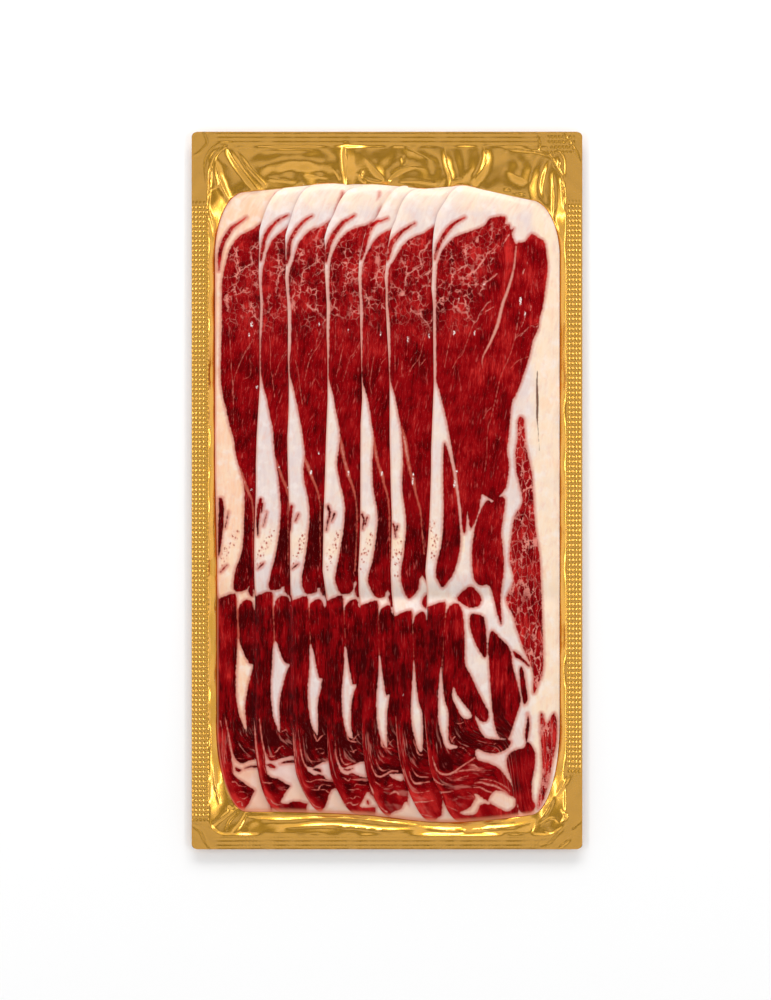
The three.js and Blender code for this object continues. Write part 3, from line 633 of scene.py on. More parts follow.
# Small slits of muscle in the fat, and the dark end of sinew at the joint.
SLITS = [
    [[(-62.7, -3.5, .8), (-62.4, -8, 1), (-62.8, -15, .9), (-63.3, -22, .5), (-63.6, -24.5, .2)],
     [(-50.6, -34.5, .5), (-51.3, -37.5, 1), (-51, -39.5, .5)],
     [(-62.8, -30.8, .1), (-61.6, -29.4, .3), (-60.4, -28.2, .1)],
     [(-59.8, -8, .05), (-60.4, -11, .15), (-61, -14, .1)]],
    [[(-47.6, -3.5, .6), (-48.3, -7, .7), (-48.7, -12, .5), (-48.6, -17, .2)],
     [(-47, -5, .4), (-47.2, -8, .3)],
     [(-37, -34, .6), (-37.8, -37, .9), (-37.2, -39, .4)],
     [(-48.6, -29.5, .1), (-47.4, -28.3, .3), (-46.4, -27.2, .1)],
     [(-45.2, -8, .05), (-46, -11.5, .2), (-46.6, -13.5, .1)]],
    [[(-36, -6, .6), (-36.3, -10, .5), (-36.6, -15, .3)], [(-33.3, -9, .3), (-34.5, -11.5, .2)],
     [(-23.6, -34, .4), (-24.3, -37, .8), (-24, -39.2, .4)],
     [(-35.6, -29.4, .1), (-34.4, -28.4, .3), (-33.4, -27.6, .1)]],
    [[(-22.2, -6, .5), (-21.5, -8.5, .4), (-22.3, -12, .3), (-22.8, -15, .2)],
     [(-19.8, -8.7, .4), (-20.8, -11.5, .2)],
     [(-10.6, -34.5, .4), (-11.3, -37.5, .9), (-10.9, -39.6, .5)]],
    [[(-9.4, -9, .4), (-8.7, -11, .35), (-9.2, -14.5, .2)], [(-7.5, -10, .3), (-8.2, -13, .2)],
     [(2.3, -38, .3), (1.4, -40, .7), (1.8, -43.5, .4)]],
    [[(2.3, -12.5, .3), (2.9, -14.5, .35), (3.2, -17.5, .2)], [(3.9, -13.3, .35), (3.6, -15, .2)],
     [(14.8, -39.5, .3), (14, -42, .9), (14.6, -44, .4)]],
    [],
]
# Where the fat is freckled with red.
FRECKLES = [
    [(-57, -16, 1.2), (-58.5, -20, 1.3), (-61.5, -24, 1.3), (-63, -29, 1.1)],
    [(-43, -15, 1), (-44.5, -19, 1.2), (-47, -22, 1.2), (-48.5, -28, 1.1)],
    [(-31.5, -17, 1), (-32.8, -22, 1.1), (-34.5, -25, 1), (-35, -29, .9)],
    [(-18.2, -16, 1), (-19.2, -20, 1.1), (-21.5, -24, 1.2), (-21.8, -29, 1)],
    [(-6, -17, 1), (-7, -21, 1.1), (-9, -25, 1.1), (-9.2, -30, .9)],
    [(5, -19, 1), (4, -24, 1.5), (3, -28, 1.3), (3.5, -33, .8)],
    [(17, -12, 1.2), (17.5, -19, 1.4), (17.7, -22, 1.2), (17.5, -25, 1)],
]
FAT_WARMTH = [1.3, 0.15, 0.2, 0.35, 0.35, 0.35, 0.35]  # of each slice, from cool white at 0 to peach at 1
# Fine white threads in the upper muscle.
THREAD_HALF_WIDTH = 0.12
THREADS = [
    [[(-50, 57), (-52.5, 54), (-54, 51), (-57, 44), (-58.2, 38), (-57.8, 32), (-57.9, 25)],
     [(-59.5, 62), (-59, 54), (-58.7, 47), (-58.2, 40), (-57.6, 35)],
     [(-54, 42), (-51.5, 43.5), (-51.3, 49)]],
    [[(-36.8, 54), (-39, 51), (-40.5, 48), (-42, 43.5)],
     [(-44.4, 60), (-43.8, 53), (-43.9, 48), (-43, 41), (-42.3, 35)],
     [(-40.5, 33), (-39.5, 36)]],
    [[(-22.5, 62), (-25.5, 55), (-27.5, 52), (-29.3, 48.5), (-31, 41.5)],
     [(-24, 37), (-25.5, 40), (-27, 42), (-28.5, 39)],
     [(-34.5, 49), (-33.3, 44), (-32.5, 37), (-31.8, 32.5)], [(-34, 60), (-33.6, 53)]],
    [[(-9.8, 56.5), (-12.5, 51.5), (-14, 50), (-15.3, 45), (-16.6, 41)],
     [(-19.3, 66), (-19.4, 58), (-19.4, 52)],
     [(-16.8, 53), (-18, 47), (-19, 43)], [(-19, 40), (-17.5, 36)]],
    [[(.2, 50.3), (-2, 48), (-3, 44.5)], [(-7.3, 60), (-7, 52), (-7.2, 43)],
     [(-4.8, 51), (-5.8, 45), (-6.5, 40), (-5.7, 36.5)],
     [(-10, 44), (-11.5, 41), (-9.5, 38.5)]],
    [[(15.5, 62), (13.5, 55), (12.2, 50), (9.5, 46.5), (8, 43)], [(3, 60), (3, 52), (3, 45)],
     [(5.7, 49), (5.4, 44)],
     [(9, 67.5), (12, 65.5), (15.2, 61.5)], [(12.2, 50), (12.3, 47), (14.5, 49.5)]],
    [[(33.2, 64), (31, 58.5), (28.5, 51.5), (26.5, 49.5), (24.7, 46)], [(25, 63), (22.7, 52), (21.6, 46.3)],
     [(49.5, 65), (48.5, 59), (46.5, 51.5), (43, 43.5), (41.2, 36), (39, 26.5), (38, 24), (37.4, 12),
      (36.8, 7)],
     [(57, 63), (53.5, 61.5), (51, 59.5), (48.5, 57.5)], [(53.5, 50.5), (49.5, 49), (46.5, 46)],
     [(39.5, 31.5), (37.5, 29.5), (36.3, 27)], [(40.5, 22), (41.8, 19), (43, 20.5)],
     [(34, 60.5), (36, 60.5)],
     [(41.5, 81.7), (38.5, 79.5), (36, 77)], [(35, 66), (37.5, 70), (39, 71.5)],
     [(26, 69.5), (28, 67), (30, 67), (31, 64.5)]],
]
# Painted glints: small white highlight spots drawn into the colour of the lean, as (x, y, half width, half
# length).
PAINTED_GLINTS = [
    [(-51, 62.5, .5, 1.4), (-49, 39, .5, .9), (-51, .2, .5, .5), (-52, 58.5, .35, 1.2)],
    [(-40.7, 8.7, .3, .6), (-37.4, 1, .3, .6)],
    [(-25.5, 62.5, .3, 1), (-28.6, 7, .45, 1), (-25.6, 14, .3, .6)],
    [(-14.6, 60, .2, .9), (-14.5, 6.8, .4, 1)],
    [(-2.4, 59, .25, 1.2), (-1.9, 6.3, .35, 1)],
    [(7.8, 57, .35, 1.3), (15.8, 58, .35, 1.1), (9.7, 3.5, .35, 1.6), (9.9, 6, .3, .7), (6, -76.8, .3, .4)],
    [(25.2, 59.3, .45, 1.1), (33, 59.3, .35, 1), (50.3, 71.5, .5, 1.8), (52, 66.5, .35, 1.3),
     (26.2, 7, .45, 1), (25.4, 2.5, .5, 1.6), (27, 72, .3, .8), (25, -39.5, 1, .7), (36.5, 77.8, .6, .5)],
]

# Veins of fat in the last slice's upper muscle: (x, y, half width). The others are cut from the same muscle.
VEINS = [
    [(24.2, 90.5, .1), (24.3, 88.3, .2), (24.2, 86.5, .2), (24.8, 85, .2), (25, 83.2, .2), (25.3, 82.2, .3),
     (24.4, 80.5, .3), (24.2, 78, .25), (23.8, 75.5, .2), (23.3, 74.2, .25)],
    [(25.3, 82.2, .3), (26.5, 82.7, .3), (27.8, 83.6, .25), (29.2, 84.5, .35), (30.3, 85, .3),
     (29.9, 87, .3), (29.6, 89.2, .3), (30.3, 90.8, .25), (31.5, 91.2, .25), (32.3, 91.8, .25),
     (33, 93.5, .2), (34, 94.3, .15)],
    [(28.9, 79.7, .1), (30.3, 81, .2), (31.7, 81.8, .3), (32.7, 82.3, .4), (33.8, 83.2, .4),
     (34.8, 84.8, .4), (36, 86.3, .45), (37.3, 88, .2), (38, 90, .25), (37.7, 92, .15)],
    [(32.7, 82.3, .35), (33, 80.5, .2), (33.5, 78.7, .2), (33.3, 77.5, .25), (31, 77.3, .1)],
    [(41.5, 81.7, .25), (40, 80.3, .25), (38.3, 79, .25), (36.8, 78.2, .4), (35.7, 76, .2), (35, 74, .15),
     (35.7, 72.8, .1)],
    [(39.5, 71.2, .15), (38, 70.7, .3), (36.8, 69, .25), (35.3, 67.3, .2), (34.5, 65.5, .2), (34, 64, .25),
     (33, 63.3, .25), (31.8, 64.3, .25), (30.5, 65.7, .3), (30, 67, .4), (28.7, 67, .3), (27.3, 67.7, .25),
     (26.2, 69, .3)],
    [(40.5, 69.3, .1), (38.7, 68.3, .25), (37, 67.3, .2), (35.3, 66.2, .1)],
    [(33, 63.3, .25), (32, 61.5, .15), (31.3, 59.5, .15), (30.5, 57, .15), (29, 53.5, .12), (27, 50.5, .12),
     (25.5, 48, .08)],
    [(26.4, 75, .2), (28, 74.7, .15), (29.3, 73.5, .1), (29.5, 72, .08)],
    [(29.7, 71, .1), (30, 69, .15), (30.2, 67.5, .2)],
    [(21, 73, .08), (20.5, 71.5, .12), (21, 69.5, .15), (21.2, 67, .1)],
    [(39.3, 100.5, .1), (39.6, 97.5, .25), (39.3, 95.3, .25), (38.7, 93, .1)],
    [(42.2, 98, .25), (41.7, 96.5, .1)],
    [(46, 96.5, .25), (45, 94.8, .35), (43.8, 93, .25), (43.5, 91, .1)],
    [(41.8, 92, .25), (40.5, 90.5, .25), (39.8, 89.3, .1)],
    [(39.7, 87.3, .3), (38.8, 85.5, .12), (38.3, 83.5, .08), (39, 82.5, .08)],
    [(53, 95, .1), (53.2, 92, .15), (53, 88, .12), (52.8, 85, .08)],
    [(51.8, 83.5, .25), (51.2, 81.8, .35)],
    [(50.2, 72, .2), (50.1, 69, .15), (49.5, 65, .15), (48.7, 61, .15), (48.3, 58, .2), (48, 55, .1)],
    [(52, 65.5, .2), (51, 62.5, .15), (49.5, 59.5, .12), (48.5, 57.5, .15)],
    [(54, 70.5, .15), (54.3, 69, .3), (54, 67.8, .15)],
    [(57.2, 62.5, .15), (56, 61.5, .2), (54, 62.3, .25), (52.8, 60.8, .2), (51.2, 59.3, .25),
     (50, 57.5, .1)],
    [(33.5, 60.7, .12), (35.2, 61.2, .18), (36, 60, .12), (36.3, 57.5, .1)],
]
VEIN_JITTER = [(0.8, 0.6), (0.0, 0.5), (-1.0, 1.0), (0.3, -0.4), (-0.5, 0.8), (0.4, -0.6), (0.0, 0.0)]
# Fat that runs into the foot of each slice, the islands of lean in it, and the pale streaks beside it.
FOOT_FAT = [
    [[(-58.6, -99.5), (-57.3, -101.4), (-55.5, -102.5), (-54, -102.7), (-52, -101.9), (-50, -101.3),
      (-48, -101.5), (-47, -106), (-46, -112), (-44.5, -116), (-44, -121.5), (-48, -122.5), (-52.5, -121.6),
      (-53.5, -119.8), (-52.2, -118.2), (-51.3, -115.8), (-50.3, -114), (-50, -113), (-51.2, -112),
      (-53, -111), (-54.3, -109.8), (-56.2, -108.7), (-57.8, -107), (-58.2, -104), (-58.5, -102)]],
    [[(-45.9, -99.5), (-44.8, -101.3), (-43, -101.8), (-40.5, -101), (-38, -100.3), (-36, -100),
      (-33, -101), (-32, -106), (-31, -111), (-28, -116), (-27, -118.3), (-30, -118), (-33, -117.2),
      (-35.5, -117.2), (-38, -118), (-40, -117.4), (-39.3, -115.6), (-38.4, -114), (-37, -112),
      (-36.5, -111), (-38.3, -110.4), (-40.5, -108.8), (-43.2, -108.1), (-45, -106.6), (-45.7, -103.5)]],
    [[(-30.3, -103.6), (-28.5, -104.2), (-26.5, -103.5), (-25, -102.6), (-22.5, -101.8), (-20, -102),
      (-20, -108.5), (-22.5, -108.7), (-24, -107.3), (-26, -106.6), (-27, -107.1), (-28.8, -106.2),
      (-29.9, -105)],
     [(-20.3, -112.3), (-22, -115), (-22.8, -118), (-24.4, -120.5), (-25, -122.5), (-12, -122.8),
      (-14, -118), (-17, -113)]],
    [[(-19, -100.5), (-17.9, -103), (-16.5, -104.3), (-14.5, -103.7), (-12.5, -103.1), (-10.5, -102.2),
      (-8, -102.5), (-7.5, -107.8), (-9.5, -107.7), (-11.5, -106.9), (-13.3, -106.3), (-15, -106.9),
      (-17, -106), (-18.2, -104)],
     [(-7.6, -113.5), (-8.8, -116), (-10.2, -118.4), (-9, -119.4), (-5, -119.2), (-2.5, -119), (-4.5, -116),
      (-6.3, -114.2)]],
    [[(.7, -106.9), (2.5, -106.6), (6, -106.8), (6, -109.2), (4.3, -109.2), (3.2, -108.7), (2, -108.1)],
     [(6.9, -117.1), (5.8, -119), (4.5, -120.3), (2.5, -120.9), (1.3, -122), (1, -124.5), (12, -126),
      (13, -123), (10, -119.5), (8.5, -118)]],
    [[(24, -120), (21.8, -121.2), (20.2, -122.4), (18.9, -123.5), (18, -126), (27, -126), (28, -123),
      (26, -120.5)]],
    [[(38.1, -116.8), (38.9, -115.1), (40.2, -113.4), (41.4, -113), (43.9, -113.4), (46, -114.7),
      (47.7, -115.5), (48.5, -116.8), (48.3, -118.9), (47.2, -120.1), (45.2, -121), (43.5, -120.3),
      (41.8, -119.5), (40.6, -118.7), (39.3, -117.8)],
     [(32.5, -114.1), (33.9, -114.3), (35.6, -115.5), (37.3, -116.6), (38.8, -117.3), (38.3, -118.3),
      (36.8, -117.9), (35.2, -118.4), (34.5, -119.7), (33.9, -121.2), (32.7, -122), (31, -122.2),
      (28.9, -122), (27.3, -121.2), (28.9, -120.3), (30.6, -119.7), (31.8, -118.4), (32.7, -116.8),
      (33.4, -115.9), (33.1, -115.1)]],
]
FOOT_LEAN = [
    [[(-57, -104.6, .3), (-56.2, -105.3, .65), (-55.2, -105.4, .3)],
     [(-53.6, -104.7, .15), (-52, -104.2, .3), (-50, -104, .4), (-48, -104, .4)]],
    [[(-44.9, -103.3, .3), (-43.7, -103.6, .75), (-42.4, -104.2, .4)],
     [(-40.3, -102.9, .1), (-38.5, -102.3, .35), (-36.5, -102, .5), (-34, -102, .5)]],
    [[(-27.8, -104.9, .2), (-26.5, -105, .5), (-25.3, -105.3, .5), (-24.9, -105.8, .2)]],
    [[(-16.2, -105, .2), (-14.5, -105.1, .35), (-13, -104.6, .2)], [(-7.3, -117, .4), (-7, -117.8, .4)]],
    [],
    [],
    [],
]
FOOT_STREAKS = [
    [[(-61.3, -84, .1), (-60.3, -89, .25), (-59.5, -93, .35), (-58.9, -97, .45), (-57.9, -100.5, .45),
      (-56, -102.8, .35)],
     [(-62.8, -87, .25), (-62.2, -90, .15), (-61.7, -95, .15), (-61.2, -101, .2), (-61, -104, .08)],
     [(-58.6, -104, .1), (-58.2, -106, .2), (-57, -107.5, .2)],
     [(-58.3, -109.8, .3), (-57, -109.9, .25), (-55.8, -111.2, .15), (-53, -111.6, .1)],
     [(-56.5, -113.7, .08), (-54, -113.6, .15), (-52.3, -114.6, .1)],
     [(-55.5, -115.8, .1), (-54, -116.2, .15), (-52.5, -115.4, .15)],
     [(-56.5, -117.5, .25), (-55, -117.2, .2), (-54.5, -118.8, .35)],
     [(-56.7, -100.8, .1), (-55, -101.2, .15), (-53.5, -101.1, .1)]],
    [[(-50.4, -86, .25), (-49.7, -91, .3), (-49.3, -96, .35), (-48.9, -99, .45), (-48.3, -103, .25),
      (-48.2, -104.5, .1)],
     [(-48, -86, .2), (-47.5, -90, .3), (-47, -94, .3), (-46.3, -97.5, .35), (-45.5, -100, .4),
      (-44, -102.2, .3)],
     [(-46.5, -98.5, .1), (-46.4, -103, .1), (-46, -105, .15), (-45, -107, .15)],
     [(-45.1, -99.2, .1), (-44.3, -100, .2), (-43, -100.2, .3), (-42, -99.8, .1)],
     [(-42.5, -98.8, .1), (-41.5, -98.2, .25), (-40.7, -97, .25), (-39.2, -96.2, .15), (-38.5, -97.2, .1)],
     [(-46.8, -109.8, .3), (-44.6, -110.2, .3), (-43, -110, .1)],
     [(-46, -114.8, .15), (-45.2, -115.9, .25), (-43.9, -116.3, .2), (-43, -117.6, .3),
      (-41.3, -118.3, .25), (-39.8, -118.3, .15)],
     [(-38.8, -112.5, .1), (-37.6, -113, .25), (-37.8, -114.2, .1)],
     [(-40.2, -91.2, .1), (-38.5, -90.2, .25), (-37.5, -90.4, .25)]],
    [[(-35.4, -90, .2), (-35.1, -95, .25), (-34.7, -100, .2), (-34, -105, .15), (-33, -109, .15),
      (-31.5, -112.5, .15), (-29.5, -116, .2), (-27.5, -118.5, .25), (-25, -119.5, .15)],
     [(-33.3, -90, .1), (-32.8, -95, .15), (-32.2, -99, .3), (-31.2, -102.5, .3), (-30, -104.3, .3)],
     [(-30.2, -98.5, .1), (-29.3, -101, .25), (-28, -101.9, .3), (-26.5, -101.9, .2), (-25.2, -101.8, .1)],
     [(-30.5, -109.2, .15), (-28.7, -109.6, .25), (-27, -108.9, .25), (-24, -108.8, .3),
      (-21.5, -109.3, .3), (-18, -109.5, .25)],
     [(-28.5, -112.4, .1), (-26, -112.6, .25), (-25.2, -111.3, .25), (-23.8, -110.6, .2),
      (-21, -111.2, .2)],
     [(-25.5, -112.8, .1), (-23.7, -112.5, .2), (-22, -113.5, .2), (-21, -114.3, .15)],
     [(-26.8, -97.4, .1), (-25.6, -97, .2), (-23.5, -97.2, .1)],
     [(-25.2, -98.6, .1), (-24.2, -98.9, .25), (-23.6, -98.2, .1)],
     [(-27.8, -90.5, .1), (-26.9, -93, .3), (-26.2, -94.2, .3), (-25, -92.8, .3), (-23.8, -91.9, .2),
      (-22.8, -91.9, .1)],
     [(-31, -117.5, .15), (-29, -118.8, .25), (-27, -119.5, .15)]],
    [[(-22.9, -86, .2), (-22.6, -94, .2), (-22.2, -101, .15), (-21.7, -105, .25), (-20.9, -108.5, .4),
      (-20, -111, .35), (-18.5, -114, .25), (-17, -116.5, .3), (-15.5, -118.5, .25)],
     [(-19.6, -92, .1), (-19.4, -97, .15), (-18.8, -101, .3), (-17.8, -103.5, .35)],
     [(-18, -96.5, .1), (-17.5, -100, .2), (-16.4, -102.4, .3), (-15, -103, .3), (-13.2, -102.3, .15)],
     [(-14.2, -97.7, .1), (-13, -98.4, .25), (-12.2, -99.1, .1)],
     [(-13, -98.3, .1), (-11.5, -97.5, .2), (-10, -97, .1)],
     [(-15, -90.5, .1), (-14.8, -92.8, .35), (-14.2, -94, .25), (-12.5, -94.5, .3), (-10.7, -94.7, .15)],
     [(-13.2, -93.8, .1), (-12.2, -93.2, .3), (-11.3, -92.1, .15), (-10.5, -91.7, .1)],
     [(-17.8, -107.7, .1), (-16, -108.2, .2), (-14.6, -109.2, .3), (-13.8, -108.2, .15)],
     [(-13.5, -108.6, .15), (-11, -108.8, .3), (-9, -108.9, .3), (-7, -109.2, .15)],
     [(-12.3, -111.2, .1), (-11.5, -110.5, .2), (-9.8, -110.8, .15), (-8, -111, .15)],
     [(-14.8, -112.5, .1), (-12.8, -112.6, .2), (-11, -112.3, .2), (-9.5, -113, .1)],
     [(-15.3, -116, .1), (-14, -115.5, .15), (-12.7, -116, .25), (-11.5, -115, .2), (-10, -115.5, .15)],
     [(-15, -117.8, .25), (-13.9, -117.3, .25), (-13, -118.2, .3), (-11.5, -118.2, .25),
      (-10.5, -117.5, .15)]],
    [[(-9.8, -86, .2), (-9.4, -94, .2), (-8.8, -102, .15), (-8, -108, .12), (-7, -111.8, .15),
      (-5.8, -114.5, .3), (-4.8, -116.5, .3), (-3, -118.5, .2), (-1.5, -120, .25), (0, -121, .35)],
     [(-6.6, -110.2, .15), (-5.7, -112.5, .45), (-4.9, -114.3, .25)],
     [(-7.2, -95, .1), (-6.7, -100, .15), (-5.8, -103.5, .2), (-4.8, -106, .25), (-3.8, -107.2, .4),
      (-2.5, -107.6, .4), (-1, -107, .4), (.5, -106.2, .4), (2, -105.5, .4), (4, -105.7, .35)],
     [(-4.3, -101, .1), (-3.6, -103, .2), (-2.4, -104.8, .3), (-1.2, -105.4, .35), (.2, -105, .2),
      (1.3, -104.6, .1)],
     [(-4.8, -109.2, .1), (-3.7, -110.1, .25), (-2.2, -111, .1)],
     [(-.5, -111.9, .1), (.8, -111.1, .2), (2, -110.7, .15)],
     [(2, -111.5, .1), (3.5, -111.4, .15), (5, -111.6, .15)],
     [(1, -114.4, .12), (2.2, -113.6, .4), (3.5, -113.3, .4), (4.5, -114.3, .35)],
     [(-2.4, -91.5, .1), (-2, -94.5, .45), (-1.5, -96.3, .4), (.2, -96.8, .25), (2, -97.1, .1)],
     [(.6, -95.6, .15), (1.4, -94.6, .25), (2.4, -93.6, .1)],
     [(-2, -98.5, .1), (-1.7, -99.8, .25), (-.7, -100.5, .15), (.5, -100.4, .2), (2, -101, .1)]],
    [[(3.2, -85, .2), (3.6, -91, .25), (4.3, -98, .25), (4.9, -102, .15), (5.5, -106, .15),
      (6.6, -110.5, .15), (7.8, -114, .15), (9, -117, .25), (10.3, -119.3, .3), (11.6, -119.4, .2),
      (11.8, -121, .15)],
     [(5.2, -103.5, .1), (6.2, -105.5, .3), (6.6, -108, .1)],
     [(9.2, -104, .1), (10.2, -105.9, .25), (11.6, -107.3, .35), (13.4, -107.8, .35), (15.5, -107.8, .25)],
     [(8.3, -105.5, .1), (9.2, -108.5, .25), (10.4, -110, .4), (12, -110.1, .45), (14, -109.8, .35),
      (16, -109.5, .25)],
     [(8.5, -111.5, .1), (9.6, -112.9, .2), (11.8, -113.6, .25), (13.8, -113.4, .15), (16, -113, .15)],
     [(9.5, -114.7, .1), (11, -115.5, .2), (14, -115.6, .15)],
     [(8.6, -116.4, .3), (10, -117.4, .4), (12.2, -117.1, .35), (15, -117, .3), (17.5, -116.6, .15)],
     [(12.3, -121.6, .15), (14.5, -122.2, .25), (17, -122.7, .15)],
     [(10, -93.5, .15), (10.8, -96, .25), (11.7, -98.8, .35), (12.8, -99.5, .3), (13.5, -99.2, .15)]],
    [[(13.9, -84, .25), (14.8, -92.5, .2), (15.4, -98.8, .15), (16, -105, .2), (17, -107.6, .25),
      (18.5, -109.3, .35), (20.2, -110.3, .3), (22.3, -110.9, .15)],
     [(16.9, -99.5, .15), (17.9, -103, .3), (18.9, -105.3, .35), (20.6, -106.5, .45), (22.7, -106.7, .45),
      (24.8, -106.1, .45), (26.8, -104.7, .4), (28.9, -103.2, .3), (31, -101.9, .3), (33, -100.6, .35)],
     [(25.6, -106.1, .25), (27.7, -105.4, .3), (30.2, -105.2, .4), (32.7, -105, .4), (34.8, -105.4, .25)],
     [(30, -103.2, .1), (32.5, -103.3, .45), (34.5, -104.6, .25), (35.5, -105.3, .1)],
     [(23.5, -108.8, .15), (26, -108.8, .25), (28.1, -107.9, .25), (30.6, -107.4, .1)],
     [(34.8, -108.6, .15), (38.1, -108.9, .25), (41.4, -109.8, .25), (44.3, -111.4, .3),
      (46.4, -113.2, .25)],
     [(33.1, -110.1, .25), (35.6, -109.9, .4), (38.1, -110.7, .45), (40.6, -111.2, .45), (43.1, -112.5, .4),
      (45.6, -114.2, .35)],
     [(32.7, -111.7, .2), (35.2, -111.8, .35), (37.3, -113, .4), (39.3, -113.6, .4)],
     [(18.3, -112.6, .3), (19.3, -114.2, .55), (20.6, -113.5, .35), (22.7, -113.4, .3), (24.8, -113, .2)],
     [(19.5, -117, .1), (20.3, -116, .2), (21, -115, .15)],
     [(30, -113.3, .1), (32, -114.6, .15), (33, -116, .15)],
     [(21.8, -118.4, .1), (23.9, -119.3, .2), (26.4, -120.5, .15)],
     [(26.4, -96.1, .15), (28.5, -96.8, .25), (29.8, -97.9, .2), (31.4, -99.4, .1)],
     [(24.1, -94.8, .15), (24.7, -93.5, .25), (25.7, -92.4, .2)],
     [(25.8, -87.4, .1), (27.5, -87.7, .2), (29, -87, .1)],
     [(36.8, -95.2, .1), (38.5, -95, .15), (41, -95.2, .1)],
     [(40.2, -95.5, .1), (40.8, -97, .12), (39.5, -98.2, .1)]],
]
# The last slice, seen whole: its muscles, laid over fat.
MAIN_MUSCLE = [
    (18.6, 45), (18.4, 62), (18.5, 78), (19, 85), (20.5, 89.5), (23, 93), (26, 95.5), (30, 97), (34, 98.5),
    (37, 100), (39, 102.5), (44.3, 103.2), (44.5, 100.5), (46, 100.3), (46.5, 98.5), (47.8, 98.7),
    (47, 96.5), (48.5, 93), (49.5, 93.5), (52, 93.8), (54.5, 96.7), (57.5, 95), (59.5, 93), (60.5, 85),
    (60.2, 80), (58.8, 70), (57.5, 65), (57, 61), (55, 56.5), (53.5, 50), (50.5, 41), (48.5, 36), (47, 33),
    (46.2, 25), (45.8, 20), (45.2, 15), (46, 9), (45, 2), (44, 0), (42, -2.5), (40.5, -4), (37, -2),
    (35.5, -2), (34.5, -8), (31.5, -14.5), (30.3, -8), (29.5, -16), (28.2, -14), (28, -8), (27.5, -5),
    (26.5, 3), (24.5, 15), (22.5, 26), (20.5, 34), (19.5, 38), (18.3, 42),
]
TONGUE = [
    (21.8, 18), (21.2, 14), (21.1, 4), (21.3, -6), (21.1, -13), (20.5, -20), (19, -26), (18.3, -31),
    (19.3, -34.3), (21, -36.5), (22.8, -34.3), (24.6, -32), (26.4, -27), (27.6, -20), (27.3, -12),
    (26.6, -5), (25.6, 3), (24, 11),
]
INNER_MUSCLES = [
    [(44.4, -3), (43.8, -10), (43, -16), (43.7, -22), (44, -30), (42.8, -40), (43.2, -50), (42, -48),
     (40.5, -42), (38.7, -36), (35, -35.7), (32.8, -33.5), (32, -27), (32.2, -20), (33.5, -12), (36, -6),
     (38, -3.5), (39.5, -4.5), (41.5, -2.5)],
    [(26.3, -40.5), (29, -37.5), (31.5, -36), (33, -37), (35.5, -40.5), (34.5, -43.5), (31, -44),
     (28, -42.3)],
]
OUTER_MUSCLE = [  # marbled, along the pack's right side
    (49.3, 26), (50.3, 27.8), (51.6, 27), (51.7, 24.5), (52.5, 16), (54.5, 7), (55, 0), (55.8, -13),
    (57.5, -25), (58.2, -40), (58.8, -60), (58.7, -68), (57, -73), (55.2, -76.5), (55, -68), (52, -61),
    (48.8, -52), (47.5, -47), (44.7, -41), (47.8, -34), (46.2, -26), (46.8, -18), (48, -10), (51, -5),
    (50.3, 1), (48.8, 7), (48.4, 14), (49.3, 20),
]
LOWER_BODY = [
    (12, -44.3), (15.5, -43.6), (21.8, -41.9), (22, -46), (23.5, -43.5), (26, -42.4), (27.5, -43.5),
    (28.6, -47), (29.2, -55), (29.2, -62), (29.6, -66), (31, -68.5), (33.5, -74), (36, -79), (38.2, -83.5),
    (37.8, -86.5), (35.5, -87), (33, -84.5), (34.5, -89), (37, -93), (42, -93.8), (46.5, -94.2),
    (45.5, -97), (42, -98.8), (38, -98.8), (34, -97.3), (33.2, -99), (34.5, -101.5), (38, -102.5),
    (42, -104.5), (45, -108), (47.5, -112), (48.5, -116), (49.5, -121), (48, -124), (38, -126), (20, -127),
    (8, -127), (-5, -127), (-5, -44),
]
LOWER_BODY_FAT = [
    [(20.3, -66), (19.3, -75), (19.2, -83), (19.5, -88), (20.8, -93), (22, -96.5), (24, -97.3),
     (26.5, -96.5), (25, -95.5), (23.6, -95), (23, -91), (23.2, -85), (22.7, -81.5), (21.7, -79),
     (21, -73)],
    [(25, -74), (26.5, -77), (29.5, -81), (32, -84.5), (30.5, -86), (28, -85), (26, -81), (24.5, -78)],
]
LOWER_MUSCLES = [
    [(31.3, -47), (33, -46.5), (36.3, -47.5), (37.2, -52), (37.6, -58), (37.5, -62), (36.5, -62.7),
     (34.3, -59.5), (32.3, -55), (31.2, -51)],
    [(38.7, -54), (40, -53), (42, -55), (45.5, -58.5), (47, -62), (47.3, -66), (49, -72), (50.3, -78),
     (50, -81), (48, -87), (46, -93), (44.5, -93.5), (42, -92.5), (40.3, -87), (39.3, -78), (38.5, -66),
     (38, -59)],
    [(50.3, -66.5), (51.5, -68), (52.3, -73), (53, -78), (52.5, -80), (51.5, -80.5), (50.8, -77),
     (50, -70)],
    [(47.5, -60.5), (50, -62), (53.5, -65.5), (53.3, -66.3), (50.5, -64), (48.2, -62.5)],
    [(53, -84), (53.7, -88), (52.7, -95), (52, -92), (52.8, -87)],
    [(45.5, -100), (48, -98), (51.5, -97), (52.5, -94.8), (54, -95.5), (55.8, -99), (55.5, -105),
     (54.6, -110), (54.8, -116), (56, -119), (54, -121.5), (51, -121.5), (49.3, -119), (48, -114),
     (46.5, -108), (45.2, -104)],
]
STRIPED_MUSCLE = [  # at the lower right corner
    (57.8, -84.5), (58.8, -84.5), (60, -88), (61.5, -86), (63, -84), (64, -87), (64, -93), (63.3, -98),
    (62, -104), (61, -110), (59.5, -115), (57.5, -119.5), (56.5, -119), (57.5, -114), (58.5, -107),
    (58.3, -98), (57.8, -91),
]
MUSCLE_SEAM = [(48.7, 92, .35), (47.8, 84, .45), (46, 77, .6), (43.5, 70, .65), (41.5, 62, .7), (38.5, 55, .5),
               (36, 50, .3), (36, 46, .15)]
CRACK = [(56.7, 45, .1), (56.5, 40, .3), (56.7, 33, .45), (56.6, 27.5, .3), (57, 22, .1), (57.4, 15, .05)]
